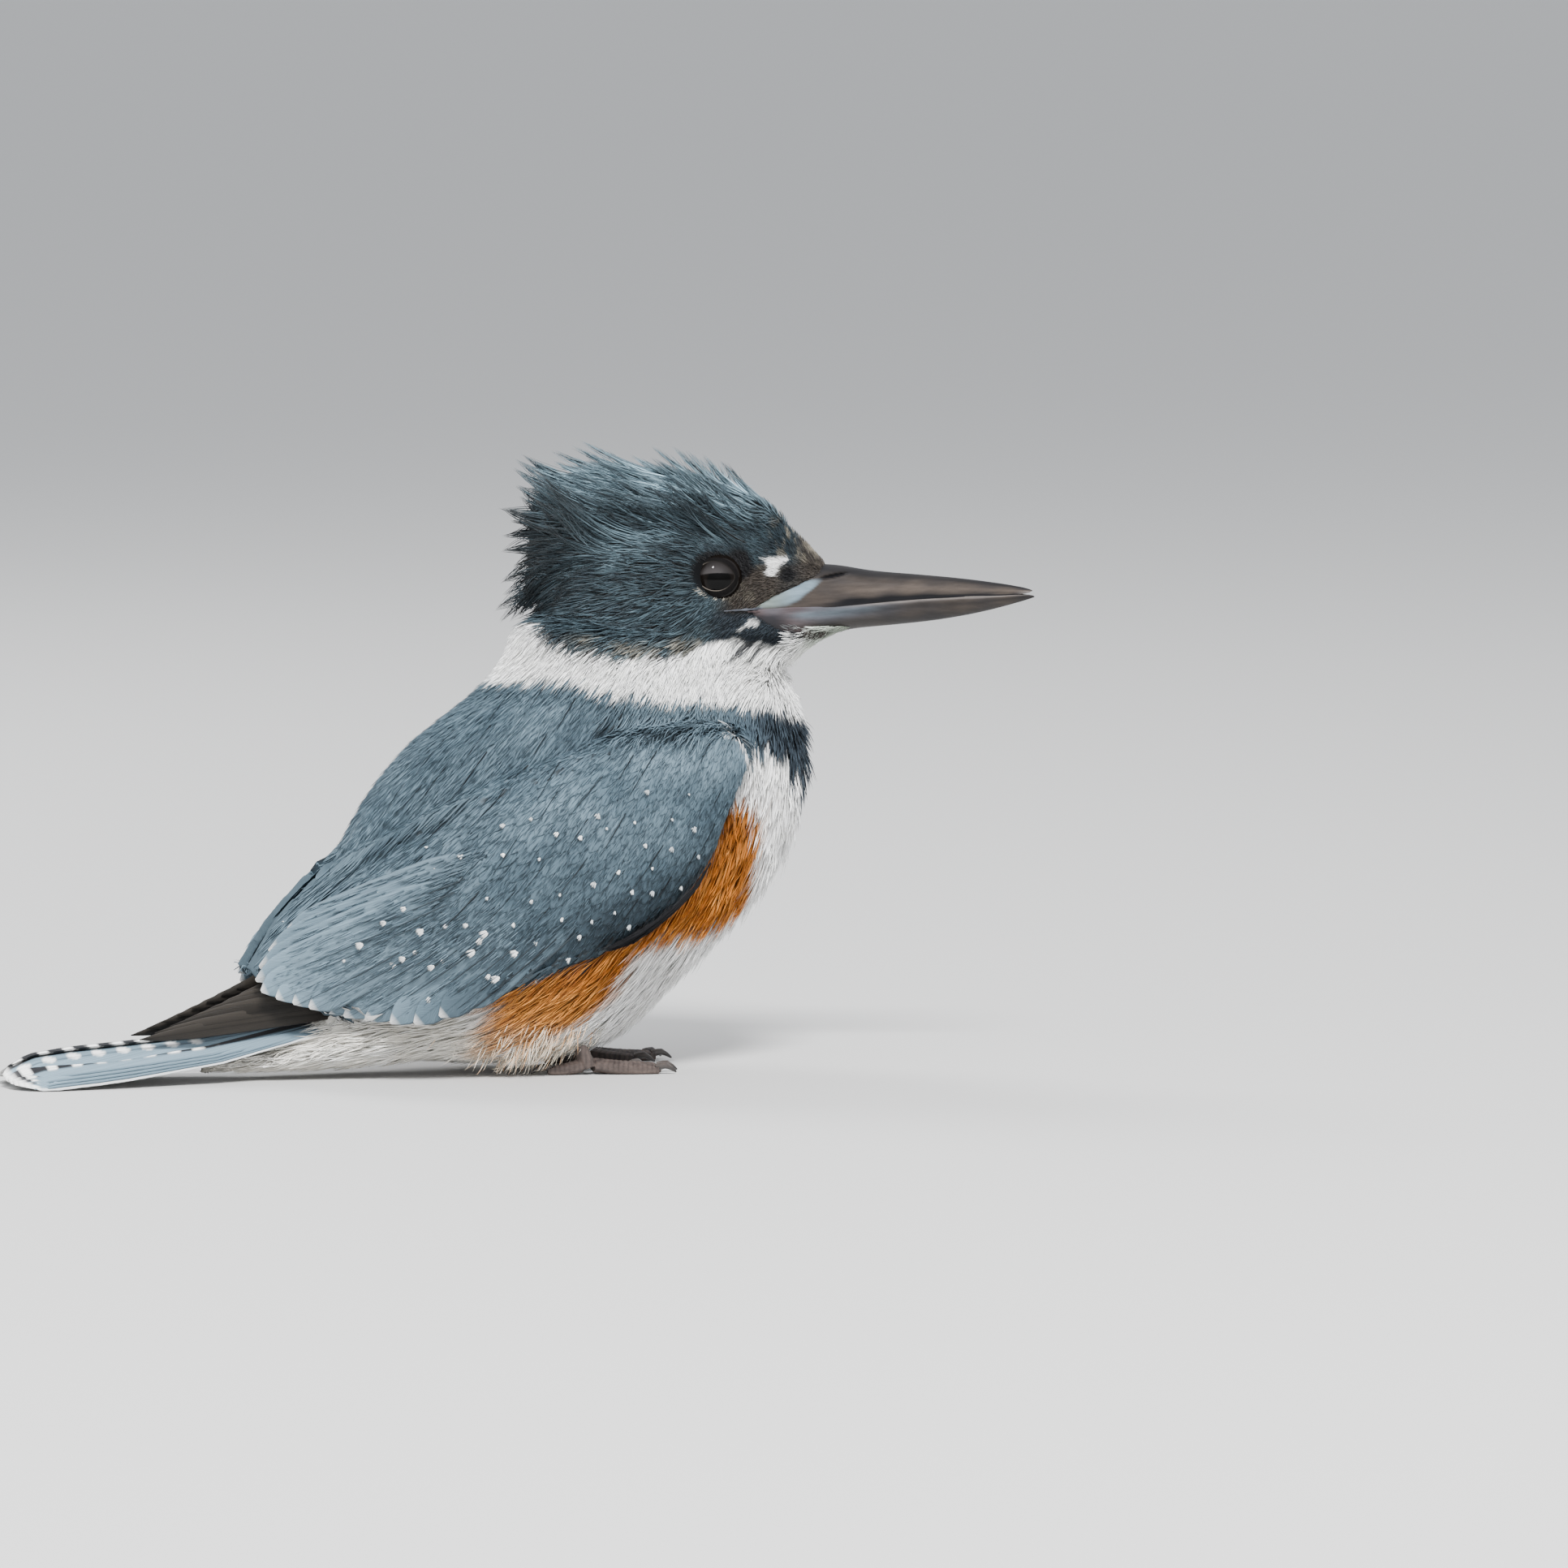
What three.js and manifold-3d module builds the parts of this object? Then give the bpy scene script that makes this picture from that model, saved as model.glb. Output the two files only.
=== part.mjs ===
// A perched female belted kingfisher, life size, as a set of closed solids that give its outline
// out to the tips of the plumage. Millimetres, +Z up, +X the way the body faces, +Y its left.
// The bird stands on the plane z = 0 on its toes, and the end of its tail lies on the same plane.
import * as THREE from "three";
import Module from "manifold-3d";

const wasm = await Module();
wasm.setup();

// ---- driving dimensions ----
const gap = 0.3; // left between neighbouring pieces
const shortestEdge = 0.12; // shorter edges are closed up
const flattestFace = 0.03; // a face with less height than this is joined to the one beside it
const bodySides = 22; // points round the trunk and the head
const bladeSides = 16; // points round a wing or the tail
const smallSides = 6; // points round a toe, a claw or a lock of the crest
const midShift = 15.2; // moves the middle of the bird's length onto the origin

const headTurn = THREE.MathUtils.degToRad(-15); // the head looks a little to its right
const neckForward = 19; // the upright axis that the head turns about
const eyeForward = 18.6; // ahead of that axis
const eyeHeight = 121.4;
const eyeOut = 8.8; // from the middle of the head to the middle of the eyeball
const eyeRadius = 6.2;

const wrist = { x: 36, z: 80 }; // front end of the folded wing
const wingClear = 0.8; // between the folded wing and the side of the body
const thinnestWing = 0.9;
const wingSlope = THREE.MathUtils.degToRad(25); // the folded wing falls this much towards the tail
const footOut = 13;
const footForward = { left: 6.5, right: 1.5 }; // the right foot stands further back

// ---- plumage and horn ----
const finish = (color, roughness, metalness = 0) =>
  new THREE.MeshStandardMaterial({ color, roughness, metalness });
const slate = finish(0x5f7480, 0.85);
const crown = finish(0x3f4f5a, 0.85);
const white = finish(0xe9e8e2, 0.9);
const flight = finish(0x2e2c2a, 0.7);
const horn = finish(0x35322f, 0.4);
const eyeBlack = finish(0x0d0a09, 0.08);
const footSkin = finish(0x4a413d, 0.6);
const claw = finish(0x1c1a19, 0.35);

// ---- making solids ----

// A value, or several, that run smoothly through rows of [place, value, value ...].
function smooth(rows) {
  const width = rows[0].length - 1;
  const sorted = rows.toSorted((a, b) => a[0] - b[0]);
  const places = sorted.map((row) => row[0]);
  const values = sorted.flatMap((row) => row.slice(1));
  const track = new THREE.CubicInterpolant(places, values, width, new Float64Array(width));
  return (place) => [...track.evaluate(place)];
}

// Places from one end to the other, closer together near both ends where a form rounds off.
function roundedSteps(from, to, count) {
  return Array.from({ length: count + 1 }, (_, i) => {
    const share = (1 - Math.cos((Math.PI * i) / count)) / 2;
    return from + (to - from) * (0.35 * (i / count) + 0.65 * share);
  });
}

function solidOf(points, faces) {
  const make = (list) =>
    new wasm.Manifold(
      new wasm.Mesh({
        numProp: 3,
        vertProperties: new Float32Array(points),
        triVerts: new Uint32Array(list),
      }),
    );
  const made = make(faces);
  return made.volume() > 0 ? made : make(faces.reverse()); // turned so that it faces out
}

// A closed skin over rings of points, each end closed onto its own middle.
function loft(rings, place = new THREE.Matrix4()) {
  const sides = rings[0].length;
  const middle = (ring) =>
    ring.reduce((sum, p) => sum.add(p), new THREE.Vector3()).divideScalar(ring.length);
  const points = [...rings.flat(), middle(rings[0]), middle(rings.at(-1))].flatMap((p) =>
    p.clone().applyMatrix4(place).toArray(),
  );
  const startPole = rings.length * sides;
  const faces = [];
  rings.forEach((_, r) => {
    for (let i = 0; i < sides; i++) {
      const next = (i + 1) % sides;
      const here = r * sides;
      if (r === 0) faces.push(startPole, i, next);
      if (r === rings.length - 1) faces.push(startPole + 1, here + next, here + i);
      else {
        const ahead = here + sides;
        faces.push(here + i, ahead + i, here + next, here + next, ahead + i, ahead + next);
      }
    }
  });
  return solidOf(points, faces);
}

function round(sides, make) {
  return Array.from({ length: sides }, (_, i) => make((2 * Math.PI * (i + 0.5)) / sides));
}

// Level slices, stacked: rows of [height, back, front, half width].
function stacked(rows, grow = 0, steps = 18) {
  const at = smooth(rows);
  const rings = roundedSteps(rows[0][0], rows.at(-1)[0], steps).map((z, i) => {
    const [back, front, half] = at(z);
    const lift = i === 0 ? -grow : i === steps ? grow : 0;
    return round(bodySides, (a) => {
      const x = (back + front) / 2 + ((front - back) / 2 + grow) * Math.cos(a);
      return new THREE.Vector3(x, (half + grow) * Math.sin(a), z + lift);
    });
  });
  return loft(rings);
}

// Upright slices, one behind another: rows of [place, bottom, top, half width], narrower above.
function sliced(rows, { grow = 0, taper = 0, steps = 16, sides = bodySides, place } = {}) {
  const at = smooth(rows);
  const ends = [rows[0][0], rows.at(-1)[0]];
  const rings = roundedSteps(ends[0], ends[1], steps).map((x, i) => {
    const [bottom, top, half] = at(x);
    const shift = i === 0 ? -grow : i === steps ? grow : 0;
    return round(sides, (a) => {
      const z = (bottom + top) / 2 + ((top - bottom) / 2 + grow) * Math.cos(a);
      const y = (half + grow) * Math.sin(a) * (1 - taper * Math.cos(a));
      return new THREE.Vector3(x + shift * Math.sign(ends[1] - ends[0]), y, z);
    });
  });
  return loft(rings, place);
}

// A round limb, claw or lock of feathers along a curve: radius runs smoothly through radii.
function limb(path, radii, { steps = 8, flatten = 1, sides = smallSides, place } = {}) {
  const curve = new THREE.CatmullRomCurve3(path.map((p) => new THREE.Vector3(...p)));
  const radiusAt = smooth(radii.map((r, i) => [i / (radii.length - 1), r]));
  const rings = Array.from({ length: steps + 1 }, (_, i) => {
    const share = i / steps;
    const along = curve.getTangent(share);
    const across = new THREE.Vector3(0, 0, 1).cross(along);
    if (across.length() < 0.2) across.set(0, 1, 0);
    across.normalize();
    const up = along.clone().cross(across).normalize();
    const [radius] = radiusAt(share);
    return round(sides, (a) =>
      curve
        .getPoint(share)
        .addScaledVector(across, radius * Math.cos(a) * flatten)
        .addScaledVector(up, radius * Math.sin(a)),
    );
  });
  return loft(rings, place);
}

function fromGeometry(geometry, matrix) {
  const shape = geometry.toNonIndexed().applyMatrix4(matrix);
  const place = shape.getAttribute("position");
  const seen = new Map();
  const points = [];
  const index = [];
  for (let i = 0; i < place.count; i++) {
    const p = [place.getX(i), place.getY(i), place.getZ(i)];
    const key = p.map((value) => value.toFixed(4)).join();
    if (!seen.has(key)) {
      seen.set(key, points.length / 3);
      points.push(...p);
    }
    index.push(seen.get(key));
  }
  const faces = [];
  for (let i = 0; i < index.length; i += 3) {
    const [a, b, c] = index.slice(i, i + 3);
    if (a !== b && b !== c && c !== a) faces.push(a, b, c);
  }
  return solidOf(points, faces);
}

const shifted = (x, y, z) => new THREE.Matrix4().makeTranslation(x, y, z);

// Everything on one side of a sloping level: a block far larger than the bird.
function half(side, x, z, slope) {
  const size = 600;
  const matrix = shifted(x, 0, z)
    .multiply(new THREE.Matrix4().makeRotationY(-slope))
    .multiply(shifted(0, 0, (side * size) / 2));
  return fromGeometry(new THREE.BoxGeometry(size, size, size), matrix);
}

const aboveFloor = half(1, 0, 0, 0);
const largest = (solid) =>
  solid.decompose().reduce((best, piece) => (piece.volume() > best.volume() ? piece : best));
const onTheHead = shifted(neckForward, 0, 0).multiply(new THREE.Matrix4().makeRotationZ(headTurn));

// ---- trunk, rump and head, whole ----
const trunkRows = [
  [1.6, -30, -8, 5],
  [4, -45, 6, 13.5],
  [10, -58, 16.5, 20.5],
  [18, -64, 25, 25.5],
  [28, -65.5, 35.5, 29],
  [40, -64, 47.5, 31.5],
  [54, -60.5, 56.5, 33],
  [68, -53, 61, 33],
  [80, -43.5, 61.5, 31.5],
  [90, -31, 58.8, 28.5],
  [98, -20.5, 55, 25],
  [104, -17, 48.5, 21.5],
  [110, -12, 40, 16.5],
  [113, -5, 32, 10],
];
const rumpRows = [
  [-26, 4, 32, 19],
  [-48, 1.6, 27, 17],
  [-64, 0.9, 18, 12.5],
  [-80, 0.9, 10, 9],
  [-91, 1.2, 5.4, 5.5],
  [-95, 1.8, 4, 2.5],
];
const headRows = [
  [-25, 108, 124, 6],
  [-21, 103, 131.5, 12],
  [-12, 99, 138, 16.5],
  [0, 97, 141.5, 18],
  [10, 97, 142.5, 16.2],
  [19, 97.5, 141.6, 13.8],
  [28, 98.5, 139, 12.2],
  [35, 99.5, 134.5, 10.9],
  [40, 101.2, 130.5, 9.7],
  [45.5, 105, 125, 8.2],
  [50, 107.3, 118, 5],
];
const headTaper = 0.22;
const rumpTaper = 0.2;
const trunkForm = (grow) => stacked(trunkRows, grow);
const rumpForm = (grow) => sliced(rumpRows, { grow, taper: rumpTaper, steps: 11, sides: 18 });
const headForm = (grow) => sliced(headRows, { grow, taper: headTaper, place: onTheHead });

// ---- bill ----
const upperBillRows = [
  [35, 113.8, 123.4, 9.4],
  [45.5, 114.5, 124.7, 8.1],
  [56.5, 115.5, 122.9, 6.3],
  [67, 116.2, 122.2, 4.9],
  [76, 116.5, 121.3, 3.8],
  [85.3, 116.8, 120.1, 2.6],
  [92, 117, 118.9, 1.4],
  [95.3, 117.2, 117.9, 0.5],
];
const lowerBillRows = [
  [35, 107.2, 113.2, 9],
  [45, 107.6, 113.9, 7.8],
  [52.8, 108.6, 114.8, 6.6],
  [60.8, 109.3, 115.3, 5.5],
  [73, 110.6, 115.8, 4.1],
  [85.3, 113.1, 116.1, 2.6],
  [92, 114.9, 116.4, 1.4],
  [95.9, 115.9, 116.5, 0.5],
];
const billForm = (rows, taper, grow = 0) =>
  sliced(rows, { grow, taper, steps: 11, sides: 14, place: onTheHead });

// A nostril is a slanting slot on each side of the upper bill, beside its root.
function nostril(side) {
  const slot = onTheHead
    .clone()
    .multiply(shifted(46.5, side * 7.2, 120.6))
    .multiply(new THREE.Matrix4().makeRotationY(-0.14))
    .multiply(new THREE.Matrix4().makeScale(3.6, 1.2, 0.55));
  return fromGeometry(new THREE.SphereGeometry(1, 8, 4), slot);
}

function eyeball(side, grow = 0) {
  const matrix = onTheHead.clone().multiply(shifted(eyeForward, side * eyeOut, eyeHeight));
  return fromGeometry(new THREE.SphereGeometry(eyeRadius + grow, 14, 9), matrix);
}

// ---- crest: a narrow fin over the skull, with locks that stand out of it in a fan ----
const crestRows = [
  [-30, 117, 137, 3.5],
  [-27, 111, 144, 8],
  [-21, 111, 148, 11],
  [-12, 116, 149.6, 12.5],
  [0, 124, 150, 12],
  [12, 130, 148.6, 10.5],
  [24, 134, 145, 8],
  [31, 135, 141, 5],
  [35, 135.2, 137.4, 2],
];
const crestLocks = 17;
const crestCentre = { x: 0, z: 123 };
const crestReach = { x: 37, z: 29.5 }; // the tips lie on a rounded oblong about that centre
const crestLength = 19;
// which way a lock points, against where round the head its tip is, both in degrees
const crestLie = smooth([
  [62, 170],
  [100, 166],
  [132, 152],
  [165, 171],
  [185, 184],
  [207, 206],
  [222, 216],
]);

function crestLock(i) {
  const place = THREE.MathUtils.lerp(94, 218, i / (crestLocks - 1));
  const round = (value) => Math.sign(value) * Math.abs(value) ** 0.62;
  const angle = THREE.MathUtils.degToRad(place);
  const lie = THREE.MathUtils.degToRad(crestLie(place)[0]);
  const lean = ((i % 3) - 1) * 3.4;
  const reach = 1 - 0.05 * (i % 2);
  const tip = new THREE.Vector3(
    crestCentre.x + crestReach.x * reach * round(Math.cos(angle)),
    lean,
    crestCentre.z + crestReach.z * reach * round(Math.sin(angle)),
  );
  const along = new THREE.Vector3(Math.cos(lie), 0, Math.sin(lie));
  const at = (share) => tip.clone().addScaledVector(along, -crestLength * share);
  const root = at(1).setY(lean * 0.3);
  const bend = at(0.5).setY(lean * 0.8);
  bend.z += 0.6;
  const path = [root, bend, tip].map((p) => p.toArray());
  return limb(path, [2.8, 2.2, 0.4], { steps: 3, flatten: 0.8, sides: 4, place: onTheHead });
}

// ---- wings: a thin shell that wraps the side of the body ----
// rows of [along the wing, lower edge, upper edge, out from the middle plane, how far the upper and
// the lower edge bend in, half thickness]
const wingRows = [
  [-2.5, -3, 4, 29, 0.5, 0.5, 1.5],
  [1, -6, 7, 30.6, 1, 1, 3],
  [7, -11, 10, 32, 2, 2, 4],
  [16, -20, 13.5, 33.2, 3, 3.6, 4.4],
  [28, -27, 17, 34, 4, 4.8, 4.4],
  [45, -30.5, 19, 34, 5.5, 5.5, 4.2],
  [62, -28.5, 20, 32.6, 8, 5.5, 3.9],
  [80, -27.5, 19.5, 29, 12.5, 5, 3.4],
  [96, -26, 17.6, 23.8, 19, 5, 2.9],
  [109, -21, 13.6, 18.4, 16.6, 4, 2.5],
  [119, -13.5, 9, 13.8, 12, 3, 2.1],
  [126.5, -5, 4, 10, 7.4, 1.5, 1.6],
  [130, -1, 1, 8, 5.4, 0.6, 0.8],
];

// How far the trunk and the rump reach out from the middle at a place in the side view.
function bodySide(x, z) {
  const half = (low, high, width, place) => {
    const share = (2 * place - low - high) / (high - low);
    return Math.abs(share) < 1 ? width * Math.sqrt(1 - share * share) : 0;
  };
  const [back, front, trunkHalf] = smooth(trunkRows)(z);
  const [bottom, top, rumpHalf] = smooth(rumpRows)(x);
  const atTrunk = z > trunkRows[0][0] && z < trunkRows.at(-1)[0];
  const atRump = x < rumpRows[0][0] && x > rumpRows.at(-1)[0];
  return Math.max(
    atTrunk ? half(back, front, trunkHalf, x) : 0,
    atRump ? half(bottom, top, rumpHalf * (1 + rumpTaper), z) : 0,
  );
}

function wingForm() {
  const at = smooth(wingRows);
  const steps = 20;
  const places = roundedSteps(wingRows[0][0], wingRows.at(-1)[0], steps);
  const rings = places.map((along) => {
    const [low, high, out, highIn, lowIn, thick] = at(along);
    return round(bladeSides, (a) => {
      const share = Math.cos(a); // -1 at the lower edge, 1 at the upper
      const across = share > 0 ? share * high : -share * low;
      const bend = (share > 0 ? highIn : lowIn) * share * share;
      const x = wrist.x - along * Math.cos(wingSlope) - across * Math.sin(wingSlope);
      const z = wrist.z - along * Math.sin(wingSlope) + across * Math.cos(wingSlope);
      const nearest = bodySide(x, z) + wingClear + thinnestWing * Math.max(0, Math.sin(a));
      return new THREE.Vector3(x, Math.max(out - bend + thick * Math.sin(a), nearest), z);
    });
  });
  return loft(rings);
}

// The long outer feathers, folded under the wing and showing behind it: rows of
// [x, lower edge, upper edge, out at the lower edge, out at the upper edge, half thickness]
const primaryRows = [
  [-67, 18, 24, 7.6, 5, 0.8],
  [-74, 14.4, 25, 8, 4.8, 1.1],
  [-80, 12, 23.4, 8.2, 4.6, 1.2],
  [-88, 10.8, 20, 8, 4.4, 1.2],
  [-98, 10.5, 15.6, 7, 4.2, 1],
  [-106, 10.3, 12.6, 5.6, 3.8, 0.8],
  [-109, 10.4, 11.4, 4.6, 3.8, 0.5],
];

function primaryForm() {
  const at = smooth(primaryRows);
  const steps = 10;
  const places = roundedSteps(primaryRows[0][0], primaryRows.at(-1)[0], steps);
  const rings = places.map((x) => {
    const [low, high, outLow, outHigh, thick] = at(x);
    return round(10, (a) => {
      const share = (1 + Math.cos(a)) / 2;
      const out = THREE.MathUtils.lerp(outLow, outHigh, share) + 0.8 * Math.sin(Math.PI * share);
      return new THREE.Vector3(x, out + thick * Math.sin(a), THREE.MathUtils.lerp(low, high, share));
    });
  });
  return loft(rings);
}

// ---- tail: folded, with the middle feathers on top as a low ridge ----
// rows of [x, ridge, edge, half width, thickness]
const tailRows = [
  [-46, 19, 16, 8, 2.4],
  [-66, 15, 10.5, 11.5, 2.4],
  [-90, 11, 4.4, 14.5, 2.3],
  [-112, 9.4, 2, 16, 2.1],
  [-128, 8, 1.5, 16.4, 1.9],
  [-137, 6.4, 1.4, 14.4, 1.7],
  [-141, 4.6, 1.3, 10.5, 1.4],
  [-142.2, 3, 1.2, 6.5, 1.2],
];

function tailForm() {
  const at = smooth(tailRows);
  const steps = 12;
  const across = 7; // points over the top, and as many underneath
  const places = roundedSteps(tailRows[0][0], tailRows.at(-1)[0], steps);
  const rings = places.map((x) => {
    const [ridge, edge, halfWidth, thick] = at(x);
    const top = (share) => ridge - (ridge - edge) * Math.abs(share) ** 1.4;
    const over = Array.from({ length: across }, (_, k) => (2 * k) / (across - 1) - 1);
    const point = (share, rise) => new THREE.Vector3(x, share * halfWidth, top(share) + rise);
    return [
      ...over.map((share) => point(share, 0)),
      ...over.toReversed().map((share) => point(share, -thick)),
    ];
  });
  return loft(rings);
}

// ---- legs and feet: three toes ahead, the outer two side by side, and one behind ----
const toes = {
  inner: { turn: 0.42, length: 12.5, start: 1.5, radius: 1.55 },
  middle: { turn: 0.02, length: 17, start: 1.5, radius: 1.75 },
  outer: { turn: -0.2, length: 16, start: 1.5, radius: 1.6 },
  hind: { turn: Math.PI - 0.12, length: 8.5, start: 1.5, radius: 1.6 },
};
const soleHeight = 1.1; // middle of a toe, whose underside is a flat at z = 0

// A point ahead of the ankle in the way that a toe points. turn is away from straight ahead,
// towards the middle of the bird. Each foot is made as a left one.
function ahead(toe, distance, z, forward) {
  return [forward + distance * Math.cos(toe.turn), footOut - distance * Math.sin(toe.turn), z];
}

function toeForm(toe, forward, grow = 0) {
  const r = toe.radius + grow;
  const path = [
    ahead(toe, toe.start, 2.3, forward),
    ahead(toe, toe.start + toe.length * 0.35, soleHeight + 0.5, forward),
    ahead(toe, toe.start + toe.length * 0.7, soleHeight + 0.1, forward),
    ahead(toe, toe.start + toe.length + grow, soleHeight + 0.1, forward),
  ];
  return limb(path, [r * 1.05, r, r * 0.92, r * 0.72], { steps: 5 }).intersect(aboveFloor);
}

function clawForm(toe, forward, grow = 0) {
  const reach = toe.start + toe.length;
  const path = [
    ahead(toe, reach - 1 - grow, soleHeight + 0.5, forward),
    ahead(toe, reach + 1.6, soleHeight + 1, forward),
    ahead(toe, reach + 4.2, 0.5, forward),
  ];
  const radii = [1, 0.85, 0.3].map((radius) => radius + grow);
  return limb(path, radii, { steps: 4, flatten: 0.75 }).intersect(aboveFloor);
}

function shankForm(forward, grow = 0) {
  const path = [
    [forward - 5, footOut + 0.4, 15],
    [forward - 2.4, footOut + 0.2, 8],
    [forward, footOut, 1.8],
  ];
  const radii = [1.9, 1.7, 2.1].map((radius) => radius + grow);
  return limb(path, radii, { steps: 5 }).intersect(aboveFloor);
}

// ---- cutting the whole into its pieces ----
const collarLow = { x: 19, z: 91.6, slope: -0.13 };
const rumpLine = { x: -50, z: 0, slope: 1.77 };
const collarHigh = { x: 19, z: 101.5, slope: -0.12 };
const above = (level) => half(1, level.x, level.z + gap / 2, level.slope);
const below = (level) => half(-1, level.x, level.z - gap / 2, level.slope);

const upperBill = billForm(upperBillRows, 0.3).subtract(nostril(1)).subtract(nostril(-1));
const lowerBill = billForm(lowerBillRows, -0.25);
const billRoom = billForm(upperBillRows, 0.3, gap).add(billForm(lowerBillRows, -0.25, gap));
const eyeRoom = eyeball(1, gap).add(eyeball(-1, gap));

const whole = trunkForm(0).add(rumpForm(0)).add(headForm(0)).intersect(aboveFloor);
const wholeRoom = trunkForm(gap).add(rumpForm(gap)).add(headForm(gap));

const body = whole.intersect(below(collarLow));
const trunk = largest(body.intersect(half(-1, rumpLine.x + gap / 2, rumpLine.z, rumpLine.slope)));
const rump = largest(body.intersect(half(1, rumpLine.x - gap / 2, rumpLine.z, rumpLine.slope)));
const neck = whole.intersect(above(collarLow)).intersect(below(collarHigh));
const head = whole.intersect(above(collarHigh)).subtract(billRoom).subtract(eyeRoom);

let crest = sliced(crestRows, { taper: 0.25, steps: 11, sides: 16, place: onTheHead });
for (let i = 0; i < crestLocks; i++) crest = crest.add(crestLock(i));
crest = crest.subtract(wholeRoom).subtract(eyeRoom);

const tail = largest(tailForm().subtract(rumpForm(gap)).subtract(trunkForm(gap)).intersect(aboveFloor));

// ---- the bird ----
const bird = new THREE.Group();
bird.name = "belted_kingfisher";
const standing = new THREE.Group();
standing.position.x = midShift;
bird.add(standing);

// Cuts leave edges far shorter than a feather is thick: each is closed up onto one of its ends,
// where that leaves the skin whole.
function withoutShortEdges(points, faces) {
  const at = (v) => new THREE.Vector3(...points.slice(3 * v, 3 * v + 3));
  let found = true;
  while (found) {
    found = false;
    const around = new Map();
    faces.forEach((face) => {
      face.forEach((v) => around.set(v, [...(around.get(v) ?? []), face]));
    });
    const touched = new Set();
    for (const [a, b, c] of [...faces]) {
      for (const [from, to] of [[a, b], [b, c], [c, a]]) {
        if (touched.has(from) || touched.has(to)) continue;
        if (at(from).distanceTo(at(to)) > shortestEdge) continue;
        const beside = (v) => new Set(around.get(v).flat().filter((other) => other !== v));
        const shared = [...beside(from)].filter((v) => beside(to).has(v));
        if (shared.length !== 2) continue;
        [...beside(from), ...beside(to)].forEach((v) => touched.add(v));
        around.get(from).forEach((face) => face.splice(face.indexOf(from), 1, to));
        faces = faces.filter((face) => new Set(face).size === 3);
        found = true;
      }
    }
  }
  return faces;
}

// A face with next to no height takes the other diagonal of the pair that it makes with the face
// across its longest edge. faces are changed in place.
function withoutFlatFaces(points, faces) {
  const at = (v) => new THREE.Vector3(...points.slice(3 * v, 3 * v + 3));
  const edgesOf = ([a, b, c]) => [[a, b, c], [b, c, a], [c, a, b]];
  const length = ([a, b]) => at(a).distanceTo(at(b));
  const owner = new Map();
  const name = (a, b) => `${a} ${b}`;
  const own = (face) => edgesOf(face).forEach(([a, b]) => owner.set(name(a, b), face));
  faces.forEach(own);
  for (const face of faces) {
    const [a, b, c] = edgesOf(face).reduce((best, edge) => (length(edge) > length(best) ? edge : best));
    const height = new THREE.Triangle(at(a), at(b), at(c)).getArea() * 2 / length([a, b]);
    if (height > flattestFace) continue;
    const across = owner.get(name(b, a));
    const far = across.find((v) => v !== a && v !== b);
    if (owner.has(name(c, far)) || owner.has(name(far, c))) continue;
    owner.delete(name(a, b));
    owner.delete(name(b, a));
    face.splice(0, 3, a, far, c);
    across.splice(0, 3, far, b, c);
    own(face);
    own(across);
  }
  return faces;
}

function add(name, solid, material, side = 1) {
  const made = solid.getMesh();
  const points = [];
  const faces = [];
  for (let v = 0; v < made.numVert; v++) points.push(...made.position(v));
  for (let f = 0; f < made.numTri; f++) faces.push([...made.verts(f)]);
  let kept = faces;
  for (let pass = 0; pass < 3; pass++) kept = withoutFlatFaces(points, withoutShortEdges(points, kept));
  const geometry = new THREE.BufferGeometry();
  geometry.setAttribute("position", new THREE.Float32BufferAttribute(points, 3));
  geometry.setIndex(kept.flatMap(([a, b, c]) => (side > 0 ? [a, b, c] : [a, c, b])));
  geometry.scale(1, side, 1);
  geometry.computeVertexNormals();
  const mesh = new THREE.Mesh(geometry, material);
  mesh.name = name;
  standing.add(mesh);
}

function addPair(name, left, material) {
  add(`${name}_left`, left, material);
  add(`${name}_right`, left, material, -1);
}

add("trunk", trunk, slate);
add("rump", rump, white);
add("neck", neck, white);
add("head", head, slate);
add("crest", crest, crown);
add("upper_bill", upperBill, horn);
add("lower_bill", lowerBill, horn);
add("eye_left", eyeball(1), eyeBlack);
add("eye_right", eyeball(-1), eyeBlack);
addPair("wing", wingForm(), slate);
addPair("primaries", primaryForm(), flight);
add("tail", tail, slate);

for (const [side, forward] of Object.entries(footForward)) {
  const turned = side === "left" ? 1 : -1;
  add(`leg_${side}`, shankForm(forward).subtract(wholeRoom), footSkin, turned);
  let taken = shankForm(forward, gap).add(wholeRoom);
  for (const [name, toe] of Object.entries(toes)) {
    const toeAlone = toeForm(toe, forward).subtract(taken).subtract(clawForm(toe, forward, gap));
    add(`toe_${name}_${side}`, largest(toeAlone), footSkin, turned);
    add(`claw_${name}_${side}`, clawForm(toe, forward), claw, turned);
    taken = taken.add(toeForm(toe, forward, gap));
  }
}

export default bird;
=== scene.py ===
import math
import bmesh
import bpy
import numpy as np
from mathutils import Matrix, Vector
from mathutils.bvhtree import BVHTree
from mathutils.kdtree import KDTree


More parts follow.
